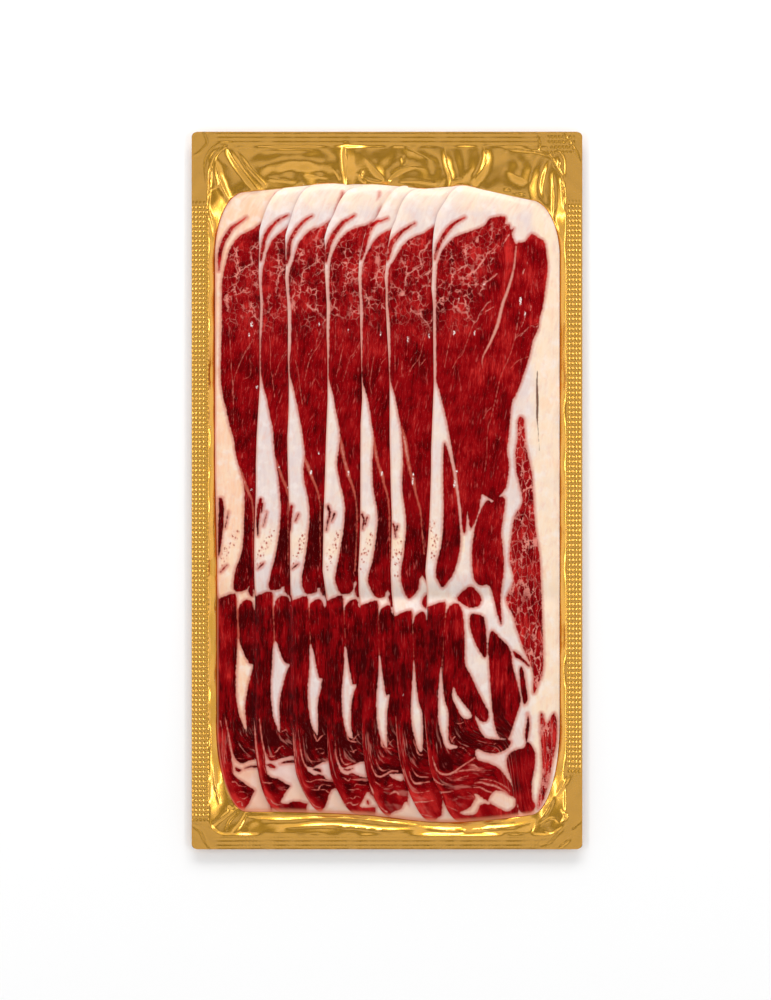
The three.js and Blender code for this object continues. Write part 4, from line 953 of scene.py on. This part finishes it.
GLOW, GLOW_HALF_WIDTH = [(45.4, 97), (45.9, 89), (45, 81), (43, 73)], 1.2  # bright lean along the seam


def closed_curve(points, per_span=3):
    """Points on a smooth closed curve through the given ones."""
    p = np.array(points, float)
    before, after, later = np.roll(p, 1, axis=0), np.roll(p, -1, axis=0), np.roll(p, -2, axis=0)
    parts = []
    for t in np.arange(per_span) / per_span:
        parts.append(0.5 * (2 * p + (after - before) * t + (2 * before - 5 * p + 4 * after - later) * t**2
                            + (3 * p - before - 3 * after + later) * t**3))
    return np.stack(parts, axis=1).reshape(-1, 2)


REACH = 3.0  # depths are cut off this far outside an outline
FOOT_TOP, FOOT_PIVOT = -84.0, -108.0  # y where the fibres start to turn, and of the middle of their turn
BELOW_FOOT = -130.0  # y beyond the foot of every slice


def near(x, y, points):
    low, high = points[:, :2].min(axis=0) - REACH, points[:, :2].max(axis=0) + REACH
    return (x > low[0]) & (x < high[0]) & (y > low[1]) & (y < high[1])


def area_depth(x, y, points):
    """How deep each place lies inside a smooth outline."""
    outline = closed_curve(points)
    close = near(x, y, outline)
    depth = np.full(x.shape, -REACH)
    depth[close] = np.maximum(inside_distance(x[close], y[close], outline), -REACH)
    return depth


def ribbon_depth(x, y, points, half_width=None):
    """How deep each place lies inside a ribbon along (x, y, half width) points."""
    path = np.array(points, float)
    if half_width is not None:
        path = np.column_stack([path, np.full(len(path), half_width)])
    path = curve_through(path, 4)
    close = near(x, y, path)
    cx, cy = x[close], y[close]
    best = np.full(cx.shape, -REACH)
    for a, b in zip(path, path[1:]):
        distance, t = segment_distance(cx, cy, a, b)
        best = np.maximum(best, mix(a[2], b[2], t) - distance)
    depth = np.full(x.shape, -REACH)
    depth[close] = best
    return depth


def deepest(depths, shape):
    return np.max([np.full(shape, -REACH), *depths], axis=0)


def closed_to_right(points, k):
    """An open outline closed far enough right to pass under the next slice."""
    right = SLICES[k + 1][0] + 7
    return [*points, (right, points[-1][1]), (right, points[0][1])]


def lean_depth(k, x, y):
    """How deep each place lies in lean: muscles, less the fat that cuts into them, and thin lean in the fat."""
    if is_last(k):
        muscles = [MAIN_MUSCLE, TONGUE, *INNER_MUSCLES, LOWER_BODY, *LOWER_MUSCLES]
        muscles += [OUTER_MUSCLE, STRIPED_MUSCLE]
        cuts = [*LOWER_BODY_FAT, *FOOT_FAT[k]]
    else:
        below = LOWER_TOP[k]
        lower = [*below, (below[-1][0], BELOW_FOOT), (below[0][0], BELOW_FOOT)]
        muscles = [closed_to_right(UPPER_MUSCLE[k], k), lower]
        cuts = [LOWER_WEDGE[k], *FOOT_FAT[k]]
    lean = deepest([area_depth(x, y, muscle) for muscle in muscles], x.shape)
    for fat in cuts:
        lean = np.minimum(lean, -area_depth(x, y, fat))
    for piece in (CAP_STRIPE[k], *SLITS[k], *FOOT_LEAN[k]):
        lean = np.maximum(lean, ribbon_depth(x, y, piece))
    return lean


def pale_depth(k, x, y):
    """How deep each place lies in threads and streaks of fat, and in the seam of the last slice."""
    pale = [ribbon_depth(x, y, thread, THREAD_HALF_WIDTH) for thread in THREADS[k]]
    pale += [ribbon_depth(x, y, streak) for streak in FOOT_STREAKS[k]]
    pale += [ribbon_depth(x, y, MUSCLE_SEAM)] if is_last(k) else []
    return deepest(pale, x.shape)


def vein_depth(k, x, y):
    """How deep each place lies in a vein of the last slice, moved to this one."""
    shift = left_edge(k, 80.0) - left_edge(len(SLICES) - 1, 80.0) + VEIN_JITTER[k][0]
    return deepest([ribbon_depth(x - shift, y - VEIN_JITTER[k][1], vein) for vein in VEINS], x.shape)


# Painted glints: how near each place lies to a white highlight spot.
def painted_glints(k, x, y):
    painted_glint = np.zeros(x.shape)
    for gx, gy, half_x, half_y in PAINTED_GLINTS[k]:
        painted_glint = np.maximum(painted_glint, np.exp(-(((x - gx) / half_x) ** 2 + ((y - gy) / half_y) ** 2)))
    return painted_glint


def fibres(k, x, y, u):
    """Places across and along the fibres, and where the foot is.

    They slant in the upper muscle, stand upright below and sweep right at the foot of the slice.
    """
    slant = 0.36 * np.interp(y, [-20, 20, 45, 65, 100], [0, 6, 17, 23, 25])
    foot_a, foot_b = np.maximum(u, 0.2), 4 * np.log1p(np.exp((y - FOOT_PIVOT) / 4))
    sweep = foot_a + foot_b - np.hypot(foot_a, foot_b)
    at_foot = smoothstep((FOOT_TOP - y) / 14) * (1 - smoothstep((x - 40) / 14))
    across = mix(u - slant, sweep * 1.15, at_foot)
    along = mix(y, foot_b - foot_a + FOOT_PIVOT, at_foot)
    return np.stack([across, along, np.full(x.shape, 3.7 * k)], axis=-1), at_foot


def marbling(k, x, y, outer, striped):
    """Strength of the marbling, and places in its net of cells."""
    marble = smoothstep((y - 52) / 20)
    cell_y = np.interp(y, [30, 62, 80, 104], [0, 9, 16, 27])  # larger bundles further from the cap
    cells = np.stack([x / 2.2, cell_y, np.full(x.shape, float(k))], axis=-1)
    if is_last(k):
        marble = marble * smoothstep((46.5 - x + 0.4 * (y - 95)) / 4)
        own_nets = [(outer, 1.35, 1.8, 4.2, 0.0), (striped, 1.4, 1.2, 9.0, 1.0)]
        for muscle, strength, width, length, layer in own_nets:
            marble = np.where(muscle > -0.5, strength, marble)
            own_cells = np.stack([x / width, y / length, np.full(x.shape, layer)], axis=-1)
            cells = np.where((muscle > -1)[..., None], own_cells, cells)
    return marble, cells


def fat_warmth(k, x, y, u):
    """Colour of the fat, peach at the pack's right side, in the cap, in the wedge and at the foot."""
    peach = np.maximum(FAT_WARMTH[k], 0.9 * smoothstep((x - 50) / 8))
    peach = np.maximum(peach, 0.7 * smoothstep((y - 101 + 0.1 * u) / 10))
    peach = np.maximum(peach, 0.8 * smoothstep(1 - np.abs(y + 20) / 14) * (u < 14))
    return np.maximum(peach, smoothstep((-100 - y) / 18))


def lean_tone(k, x, y, u, outer, striped):
    """Brightness of the lean: dark tongues and cores, bright at the cap, along the seam and at the foot."""
    tone = 0.5 + 0.2 * smoothstep((y - 90) / 8)
    tone = tone - 0.3 * smoothstep(1 - np.abs(y + 18) / 22) * (u < 13)
    tone = tone - 0.2 * smoothstep(1 - np.abs(y + 92) / 14) * smoothstep((u - 2) / 3)
    tone = tone + 0.4 * smoothstep((-88 - y) / 12) * (1 - smoothstep((u - 1) / 3))
    tone = tone + 0.3 * smoothstep((-110 - y) / 8) - 0.16 * smoothstep((-42 - y) / 5)
    tone = tone - 0.12 * smoothstep((70 - y) / 30) * (x < 22)
    if k == 0:
        tone = tone + 0.24 * smoothstep((-42 - y) / 4) * (1 - smoothstep((u - 5) / 1.5))
    if is_last(k):
        tone = np.where(outer > -1, 0.56, tone)
        glow = ribbon_depth(x, y, GLOW, GLOW_HALF_WIDTH)
        tone = np.maximum(tone, 0.8 * smoothstep((glow + 1.8) / 2.4))
        tone = np.maximum(tone, 0.66 * smoothstep(striped + 1))
        tone = np.where((x > 28) & (y > -40), np.maximum(tone, 0.45), tone)
    return tone


def anatomy(k, x, y):
    """Fields that colour a slice, at any places: depths in millimetres, shares from 0 to 1."""
    none = np.full(x.shape, -REACH)
    outer = area_depth(x, y, OUTER_MUSCLE) if is_last(k) else none
    striped = area_depth(x, y, STRIPED_MUSCLE) if is_last(k) else none
    u = x - left_edge(k, y)
    from_next = np.full(x.shape, 9.0) if is_last(k) else left_edge(k + 1, y) - x
    rim = 1 - smoothstep((y - tail_y(x) - 0.3) / 1.6)
    if k == 0:
        rim = np.maximum(rim, 0.8 * (1 - smoothstep(u / 0.7)))
    fibre, at_foot = fibres(k, x, y, u)
    marble, cells = marbling(k, x, y, outer, striped)
    return {
        "lean": lean_depth(k, x, y),
        "sinew": deepest([ribbon_depth(x, y, SINEW[k]), ribbon_depth(x, y, LOWER_SEAM[k])], x.shape),
        "pale": pale_depth(k, x, y),
        "vein": vein_depth(k, x, y),
        "crack": ribbon_depth(x, y, CRACK) if is_last(k) else none,
        "painted_glint": painted_glints(k, x, y),
        "freckles": smoothstep(ribbon_depth(x, y, FRECKLES[k]) / 1.2 + 0.6),
        "peach": fat_warmth(k, x, y, u),
        "tone": lean_tone(k, x, y, u, outer, striped),
        "marble": marble,
        "cells": cells,
        "fibre": fibre,
        "lower": smoothstep((-42 - y) / 5),
        "foot": at_foot,
        "rim": rim,
        "edge": (1 - smoothstep(u / 0.9)) * (1 - smoothstep((y - 80) / 10)),
        # painted shadow: darker where the edge of the next slice lies, strongest in the fat cap
        "painted_shadow": np.exp(-np.abs(from_next) / 0.9) * mix(0.2, 1.0, smoothstep((y - 84) / 12)),
    }


def add_fields(obj, k):
    points = np.empty(len(obj.data.vertices) * 3)
    obj.data.vertices.foreach_get("co", points)
    points = points.reshape(-1, 3) / MM
    for name, values in anatomy(k, points[:, 0], points[:, 1]).items():
        kind, key = ("FLOAT", "value") if values.ndim == 1 else ("FLOAT_VECTOR", "vector")
        obj.data.attributes.new(name, kind, "POINT").data.foreach_set(key, values.astype(np.float32).ravel())


# --- Materials ------------------------------------------------------------------------------------------
def new_material(name):
    material = bpy.data.materials.new(name)
    material.use_nodes = True
    tree = material.node_tree
    tree.nodes.clear()
    return material, tree


def srgb(r, g, b):
    """Linear colour of an sRGB one in 0..255."""
    def linear(v):
        v /= 255
        return v / 12.92 if v <= 0.04045 else ((v + 0.055) / 1.055) ** 2.4
    return (linear(r), linear(g), linear(b), 1.0)


class Tree:
    """Short ways to add shader nodes. A number or colour is set on a socket, and a socket is linked to it."""

    def __init__(self, name):
        self.material, self.tree = new_material(name)

    def add(self, kind, inputs=None, output=0, **settings):
        node = self.tree.nodes.new("ShaderNode" + kind)
        for key, value in settings.items():
            setattr(node, key, value)
        for key, value in (inputs or {}).items():
            if isinstance(value, bpy.types.NodeSocket):
                self.tree.links.new(value, node.inputs[key])
            else:
                node.inputs[key].default_value = value
        return node.outputs[output]

    def math(self, operation, a, b=0.0, clamp=False):
        return self.add("Math", {0: a, 1: b}, operation=operation, use_clamp=clamp)

    def plus(self, a, b):
        return self.math("ADD", a, b)

    def minus(self, a, b):
        return self.math("SUBTRACT", a, b)

    def times(self, a, b, clamp=False):
        return self.math("MULTIPLY", a, b, clamp)

    def step(self, value, low, high, to_low=0.0, to_high=1.0):
        """value taken smoothly from low..high to to_low..to_high."""
        inputs = {"Value": value, "From Min": low, "From Max": high, "To Min": to_low, "To Max": to_high}
        return self.add("MapRange", inputs, interpolation_type="SMOOTHSTEP")

    def blend(self, share, a, b, how="MIX"):
        node = self.tree.nodes.new("ShaderNodeMix")
        node.data_type, node.blend_type = "RGBA", how
        for socket, value in ((node.inputs[0], share), (node.inputs[6], a), (node.inputs[7], b)):
            if isinstance(value, bpy.types.NodeSocket):
                self.tree.links.new(value, socket)
            else:
                socket.default_value = value
        return node.outputs[2]

    def field(self, name, vector=False):
        return self.add("Attribute", attribute_name=name, output=1 if vector else 2)

    def noise(self, where, scale, detail=3.0, roughness=0.55, output=0):
        inputs = {"Vector": where, "Scale": scale, "Detail": detail, "Roughness": roughness}
        return self.add("TexNoise", inputs, output)

    def scaled(self, where, factors):
        return self.add("VectorMath", {0: where, 1: factors}, operation="MULTIPLY")

    def place(self):
        """Places on the surface, in millimetres."""
        return self.scaled(self.add("NewGeometry", output=0), (1 / MM, 1 / MM, 1 / MM))

    def finish(self, surface):
        out = self.tree.nodes.new("ShaderNodeOutputMaterial")
        self.tree.links.new(surface, out.inputs["Surface"])
        return self.material


class HamTree(Tree):
    """Nodes of the ham, with the places, fibres and noise that its lean and its fat share."""

    def __init__(self):
        super().__init__("cured_ham")
        self.here = self.place()
        self.fibre = self.field("fibre", vector=True)
        self.wobble = self.minus(self.noise(self.here, 0.9, 4), 0.5)

    def ragged(self, name, amount):
        """A field's depth, with its outline made ragged."""
        return self.plus(self.field(name), self.times(self.wobble, amount))

    def strands(self, squeeze, scale, detail, roughness=0.55):
        """Noise drawn out along the fibres."""
        return self.noise(self.scaled(self.fibre, (1.0, squeeze, 1.0)), scale, detail, roughness)

    def jittered(self, where, scale, reach):
        """Places moved across and along by noise."""
        noise = self.noise(self.here, scale, 2, output=1)
        centred = self.add("VectorMath", {0: noise, 1: (0.5, 0.5, 0.5)}, operation="SUBTRACT")
        shift = self.scaled(centred, (reach, reach, 0.0))
        return self.add("VectorMath", {0: where, 1: shift}, operation="ADD")


def tone_nodes(t, lower):
    """Lean that is dark and bright along the fibres, more so in the lower muscles."""
    clouds = t.step(t.noise(t.here, 0.12, 3), 0.3, 0.7, -0.22, 0.22)
    streaks = t.minus(t.strands(0.13, 0.7, 4, 0.6), 0.5)
    swing = t.plus(t.times(lower, 0.7), 0.8)
    fine = t.minus(t.strands(0.17, 2.0, 3, 0.6), 0.5)
    return t.plus(t.plus(t.plus(t.field("tone"), clouds), t.times(streaks, swing)), fine)


def marbling_nodes(t, tone, vein):
    """Bundles of lean with marbling between them: broken lines, wider in places and along the veins."""
    marble = t.field("marble")
    moved = t.jittered(t.jittered(t.field("cells", vector=True), 0.55, 0.6), 1.9, 0.14)
    between = t.add("TexVoronoi", {"Vector": moved, "Scale": 1.0}, feature="DISTANCE_TO_EDGE")
    bundle = t.add("TexVoronoi", {"Vector": moved, "Scale": 1.0}, output=1, feature="F1")
    bundle = t.add("SeparateXYZ", {"Vector": bundle}, output=0)
    in_bundle = t.times(t.math("MINIMUM", marble, 0.8), 0.34)
    tone = t.plus(tone, t.times(t.minus(bundle, 0.55), in_bundle))
    strength = t.step(t.noise(t.here, 0.22, 3, 0.6), 0.42, 0.66, 0.0, 0.75)
    strength = t.plus(strength, t.step(vein, -1.2, 0.0, 0.0, 0.6))
    strength = t.plus(strength, t.step(marble, 1.1, 1.5, 0.0, 0.35))
    beads = t.step(t.noise(t.here, 1.1, 3, 0.6), 0.36, 0.68, 0.15, 1.4)
    width = t.times(t.times(t.times(strength, beads), 0.11), marble)
    net = t.step(t.minus(between, width), -0.03, 0.045, 1.0, 0.0)
    net = t.times(net, t.plus(t.times(strength, 0.65), 0.1), clamp=True)
    return tone, t.times(net, marble, clamp=True)


def lean_colour(t):
    lower, vein = t.field("lower"), t.ragged("vein", 0.8)
    tone, net = marbling_nodes(t, tone_nodes(t, lower), vein)
    red = t.blend(t.step(tone, -0.05, 0.55), srgb(70, 0, 2), srgb(146, 3, 10))
    red = t.blend(t.step(tone, 0.45, 1.1), red, srgb(212, 46, 42))
    specks = t.step(t.strands(0.25, 1.0, 2, 0.5), 0.62, 0.74, 0.0, 0.5)
    red = t.blend(t.times(specks, t.minus(1.0, lower)), red, srgb(206, 88, 80))
    hairs = t.step(t.strands(0.1, 1.9, 3, 0.6), 0.6, 0.74)
    red = t.blend(t.times(hairs, 0.3), red, srgb(216, 106, 98))
    flow = t.step(t.strands(0.07, 1.25, 3, 0.55), 0.56, 0.68)
    red = t.blend(t.times(flow, t.times(t.field("foot"), 0.55)), red, srgb(216, 126, 112))
    red = t.blend(net, red, srgb(230, 142, 128))
    red = t.blend(t.step(vein, -0.05, 0.3, 0.0, 0.8), red, srgb(234, 154, 140))
    # Threads and streaks of fat, and the sinews.
    pale, sinew = t.ragged("pale", 0.6), t.ragged("sinew", 1.0)
    streak = t.blend(t.step(pale, 0.0, 0.5), srgb(200, 92, 80), srgb(230, 164, 146))
    red = t.blend(t.step(pale, -0.15, 0.15, 0.0, 0.88), red, streak)
    red = t.blend(t.step(sinew, 0.0, 0.4, 0.0, 0.8), red, srgb(200, 92, 74))
    return t.blend(t.step(sinew, 0.55, 0.9, 0.0, 0.5), red, srgb(238, 190, 172))


def fat_colour(t, lean):
    """From cool white to peach, pink next to the lean, with red freckles and a crack."""
    tint = t.plus(t.field("peach"), t.step(t.noise(t.here, 0.16, 4), 0.3, 0.7, -0.2, 0.2))
    fat = t.blend(t.step(tint, 0.0, 1.0), srgb(234, 215, 211), srgb(255, 229, 200))
    fat = t.blend(t.step(tint, 0.9, 1.4), fat, srgb(254, 208, 172))
    grain = t.step(t.strands(0.2, 0.8, 4), 0.35, 0.7)
    fat = t.blend(t.times(grain, 0.3), fat, srgb(255, 242, 232))
    blush = t.step(t.strands(0.4, 0.55, 4, 0.6), 0.48, 0.72, 0.0, 0.4)
    fat = t.blend(blush, fat, srgb(240, 192, 174))
    white = t.step(t.noise(t.here, 0.22, 3), 0.5, 0.7, 0.0, 0.4)
    fat = t.blend(white, fat, srgb(254, 246, 242))
    fat = t.blend(t.times(t.field("foot"), 0.4), fat, srgb(234, 166, 146))
    fat = t.blend(t.times(t.field("edge"), 0.8), fat, srgb(232, 158, 138))
    fat = t.blend(t.step(lean, -1.5, -0.1, 0.0, 0.75), fat, srgb(216, 124, 108))
    dots = t.add("TexVoronoi", {"Vector": t.scaled(t.here, (1.0, 0.75, 1.0)), "Scale": 0.95}, feature="F1")
    picked = t.times(t.step(t.noise(t.here, 0.8, 2), 0.4, 0.5), t.field("freckles"))
    fat = t.blend(t.times(t.step(dots, 0.3, 0.7, 0.6, 0.0), picked), fat, srgb(232, 150, 128))
    fat = t.blend(t.times(t.step(dots, 0.2, 0.42, 0.85, 0.0), picked), fat, srgb(160, 58, 46))
    crack = t.step(t.ragged("crack", 0.4), -0.2, 0.15)
    return t.blend(t.times(crack, 0.9), fat, srgb(96, 44, 22))


def ham_material():
    t = HamTree()
    lean = t.ragged("lean", 0.9)
    colour = t.blend(t.step(lean, -0.25, 0.2), fat_colour(t, lean), lean_colour(t))
    colour = t.blend(t.times(t.field("rim"), 0.75), colour, srgb(236, 150, 112))
    # Painted shadow: the colour is darkened towards lilac-grey beside the edge of the slice that lies over this
    # one.
    painted_shadow_colour = t.blend(1.0, colour, srgb(196, 176, 190), "MULTIPLY")
    colour = t.blend(t.times(t.field("painted_shadow"), 0.7), colour, painted_shadow_colour)
    # Painted glints: white highlight spots, made ragged by noise.
    painted_glint_flakes = t.times(t.field("painted_glint"), t.step(t.noise(t.here, 1.7, 3, 0.6), 0.35, 0.65, 0.3, 1.6))
    colour = t.blend(t.step(painted_glint_flakes, 0.45, 0.65), colour, srgb(252, 238, 232))
    shader = t.add("BsdfPrincipled", {"Base Color": colour, "Roughness": 0.4, "Specular IOR Level": 0.02})
    return t.finish(shader)


DOT_HEIGHT, LINE_HEIGHT, GRAIN_HEIGHT = 0.15, 0.065, 0.02


def foil_material():
    """Gold foil under film. Its sealed flange is embossed with rows of dots, and with lines at both ends."""
    t = Tree("gold_foil")
    here = t.place()
    x, y = (t.add("SeparateXYZ", {"Vector": here}, output=axis) for axis in (0, 1))

    def wave(value, pitch, crest):
        """A wave from 0 to 1 with a crest at the given place."""
        angle = t.times(t.minus(value, crest), 2 * math.pi / pitch)
        return t.plus(t.times(t.math("COSINE", angle), 0.5), 0.5)

    def between(value, low, high, soft):
        """1 from low to high and 0 beyond, with soft ends."""
        above = t.step(value, low - soft, low + soft)
        return t.times(above, t.step(value, high - soft, high + soft, 1.0, 0.0))

    def dotted(x_band, y_band, x_wave, y_wave):
        """Dots in a band: (from, to, softness) each way, then (pitch, crest) each way."""
        band = t.times(between(x, *x_band), between(y, *y_band))
        return t.times(band, t.times(wave(x, *x_wave), wave(y, *y_wave)))

    left = dotted((-73.1, -67.2, 0.3), (-124, 108, 2.0), (1.42, -71.5), (1.8, 0.4))
    right = dotted((67.8, 73.0, 0.3), (-106, 108, 2.0), (1.3, 68.4), (1.85, 109))
    corner = dotted((60.5, 70.5, 1.0), (127, 134.4, 0.5), (1.4, 62), (1.95, 133))
    hatch = dotted((-57, 62, 2.0), (-134.8, -130.4, 0.2), (1.35, 0), (1.5, -134))
    dots = t.plus(t.plus(left, right), t.plus(t.times(corner, 0.6), t.times(hatch, 0.15)))
    ends = t.plus(between(y, 130.2, 134.6, 0.3), between(y, -134.6, -130.2, 0.3))
    ends = t.times(t.times(ends, between(x, -64, 57, 2.0)), wave(y, 1.6, 134.1))
    worn = t.step(t.noise(t.scaled(here, (0.12, 0.0, 0.0)), 1.0, 2), 0.35, 0.6, 0.25, 1.0)
    grain = t.minus(t.noise(here, 1.6, 4, 0.6), 0.5)
    height = t.plus(t.times(dots, DOT_HEIGHT), t.times(t.times(ends, worn), LINE_HEIGHT))
    height = t.times(t.plus(height, t.times(grain, GRAIN_HEIGHT)), MM)
    normal = t.add("Bump", {"Height": height, "Strength": 1.0, "Distance": 1.0})
    inputs = {"Base Color": (0.94, 0.45, 0.012, 1), "Metallic": 1.0, "Roughness": 0.24, "Normal": normal,
              "Coat Weight": 1.0, "Coat Roughness": 0.14, "Coat IOR": 1.8, "Coat Normal": normal}
    return t.finish(t.add("BsdfPrincipled", inputs))


def film_material():
    t = Tree("clear_film")
    fresnel = t.add("Fresnel", {"IOR": 1.08})
    gloss = t.add("BsdfGlossy", {"Roughness": 0.08})
    return t.finish(t.add("MixShader", {0: fresnel, 1: t.add("BsdfTransparent"), 2: gloss}))


def floor_material():
    t = Tree("white_floor")
    return t.finish(t.add("BsdfPrincipled", {"Base Color": (0.97, 0.97, 0.97, 1), "Roughness": 0.9}))


# --- Assembly -------------------------------------------------------------------------------------------
def place(obj, material, node):
    obj.data.materials.append(material)
    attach(obj, "root")
    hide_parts(node)


tray = make_tray()
place(tray, foil_material(), "gold_tray")
ham = ham_material()
for k in range(len(SLICES)):
    meat = make_slice(k)
    add_fields(meat, k)
    place(meat, ham, f"ham_slice_{k + 1}")
place(make_film(), film_material(), "clear_film")


# --- Floor, light and camera, in metres -----------------------------------------------------------------
FLOOR_CORNERS = [(-3.0, -3.0, 0), (3.0, -3.0, 0), (3.0, 3.0, 0), (-3.0, 3.0, 0)]
SKY = [(0.0, 1.1), (0.3, 0.9), (0.5, 0.5), (0.78, 0.72), (0.865, 1.05), (0.9, 0.2), (0.955, 0.1),
       (0.98, 0.66), (1.0, 0.7)]


def make_floor():
    mesh = bpy.data.meshes.new("floor")
    mesh.from_pydata(FLOOR_CORNERS, [], [(0, 1, 2, 3)])
    floor = bpy.data.objects.new("floor", mesh)
    bpy.context.scene.collection.objects.link(floor)
    mesh.materials.append(floor_material())


def softbox(name, azimuth, from_zenith, distance, size, radiance):
    """A rectangular area light that faces the pack, from a direction given in degrees."""
    light = bpy.data.lights.new(name, "AREA")
    light.shape = "RECTANGLE"
    light.size, light.size_y = size
    light.energy = radiance * size[0] * size[1] * math.pi
    lamp = bpy.data.objects.new(name, light)
    tilt, turn = math.radians(from_zenith), math.radians(azimuth)
    lamp.location = (distance * math.sin(tilt) * math.cos(turn), distance * math.sin(tilt) * math.sin(turn),
                     distance * math.cos(tilt))
    lamp.rotation_euler = (tilt, 0, turn + math.pi / 2)
    bpy.context.scene.collection.objects.link(lamp)
    lamp.visible_camera = False


def make_world(levels):
    """A plain studio dome: its radiance against the height, from (sine of height, radiance) pairs."""
    world = bpy.data.worlds.new("studio")
    bpy.context.scene.world = world
    world.use_nodes = True
    tree = world.node_tree
    tree.nodes.clear()
    nodes, link = tree.nodes, tree.links.new
    coordinates = nodes.new("ShaderNodeTexCoord")
    split = nodes.new("ShaderNodeSeparateXYZ")
    ramp = nodes.new("ShaderNodeFloatCurve")
    background = nodes.new("ShaderNodeBackground")
    out = nodes.new("ShaderNodeOutputWorld")
    curve = ramp.mapping.curves[0]
    top = max(v for _, v in levels)
    points = curve.points
    while len(points) < len(levels):
        points.new(0.5, 0.5)
    for point, (height, value) in zip(points, levels):
        point.location = (height, value / top)
        point.handle_type = "VECTOR"
    ramp.mapping.update()
    link(coordinates.outputs["Generated"], split.inputs[0])
    link(split.outputs["Z"], ramp.inputs["Value"])
    link(ramp.outputs[0], background.inputs["Color"])
    background.inputs["Strength"].default_value = top
    link(background.outputs[0], out.inputs["Surface"])


make_floor()
make_world(SKY)
softbox("left_strip", 180, 40, 1.6, (1.0, 0.16), 6.0)
softbox("right_strip", 0, 40, 1.6, (1.0, 0.16), 6.0)
softbox("back_strip", 90, 62, 1.7, (1.6, 0.45), 8.4)

VIEW_CENTRE = (-0.56, -3.57)  # millimetres from the pack's centre
MM_PER_PIXEL = 0.3763
IMAGE_HEIGHT = 1000
camera_data = bpy.data.cameras.new("camera")
camera_data.lens = 100
camera_data.sensor_width = 36
camera = bpy.data.objects.new("camera", camera_data)
bpy.context.scene.collection.objects.link(camera)
bpy.context.scene.camera = camera
height = MM_PER_PIXEL * IMAGE_HEIGHT * camera_data.lens / camera_data.sensor_width
camera.location = (VIEW_CENTRE[0] * MM, VIEW_CENTRE[1] * MM, (height + FLANGE_TOP) * MM)
bpy.context.scene.view_settings.view_transform = "Standard"
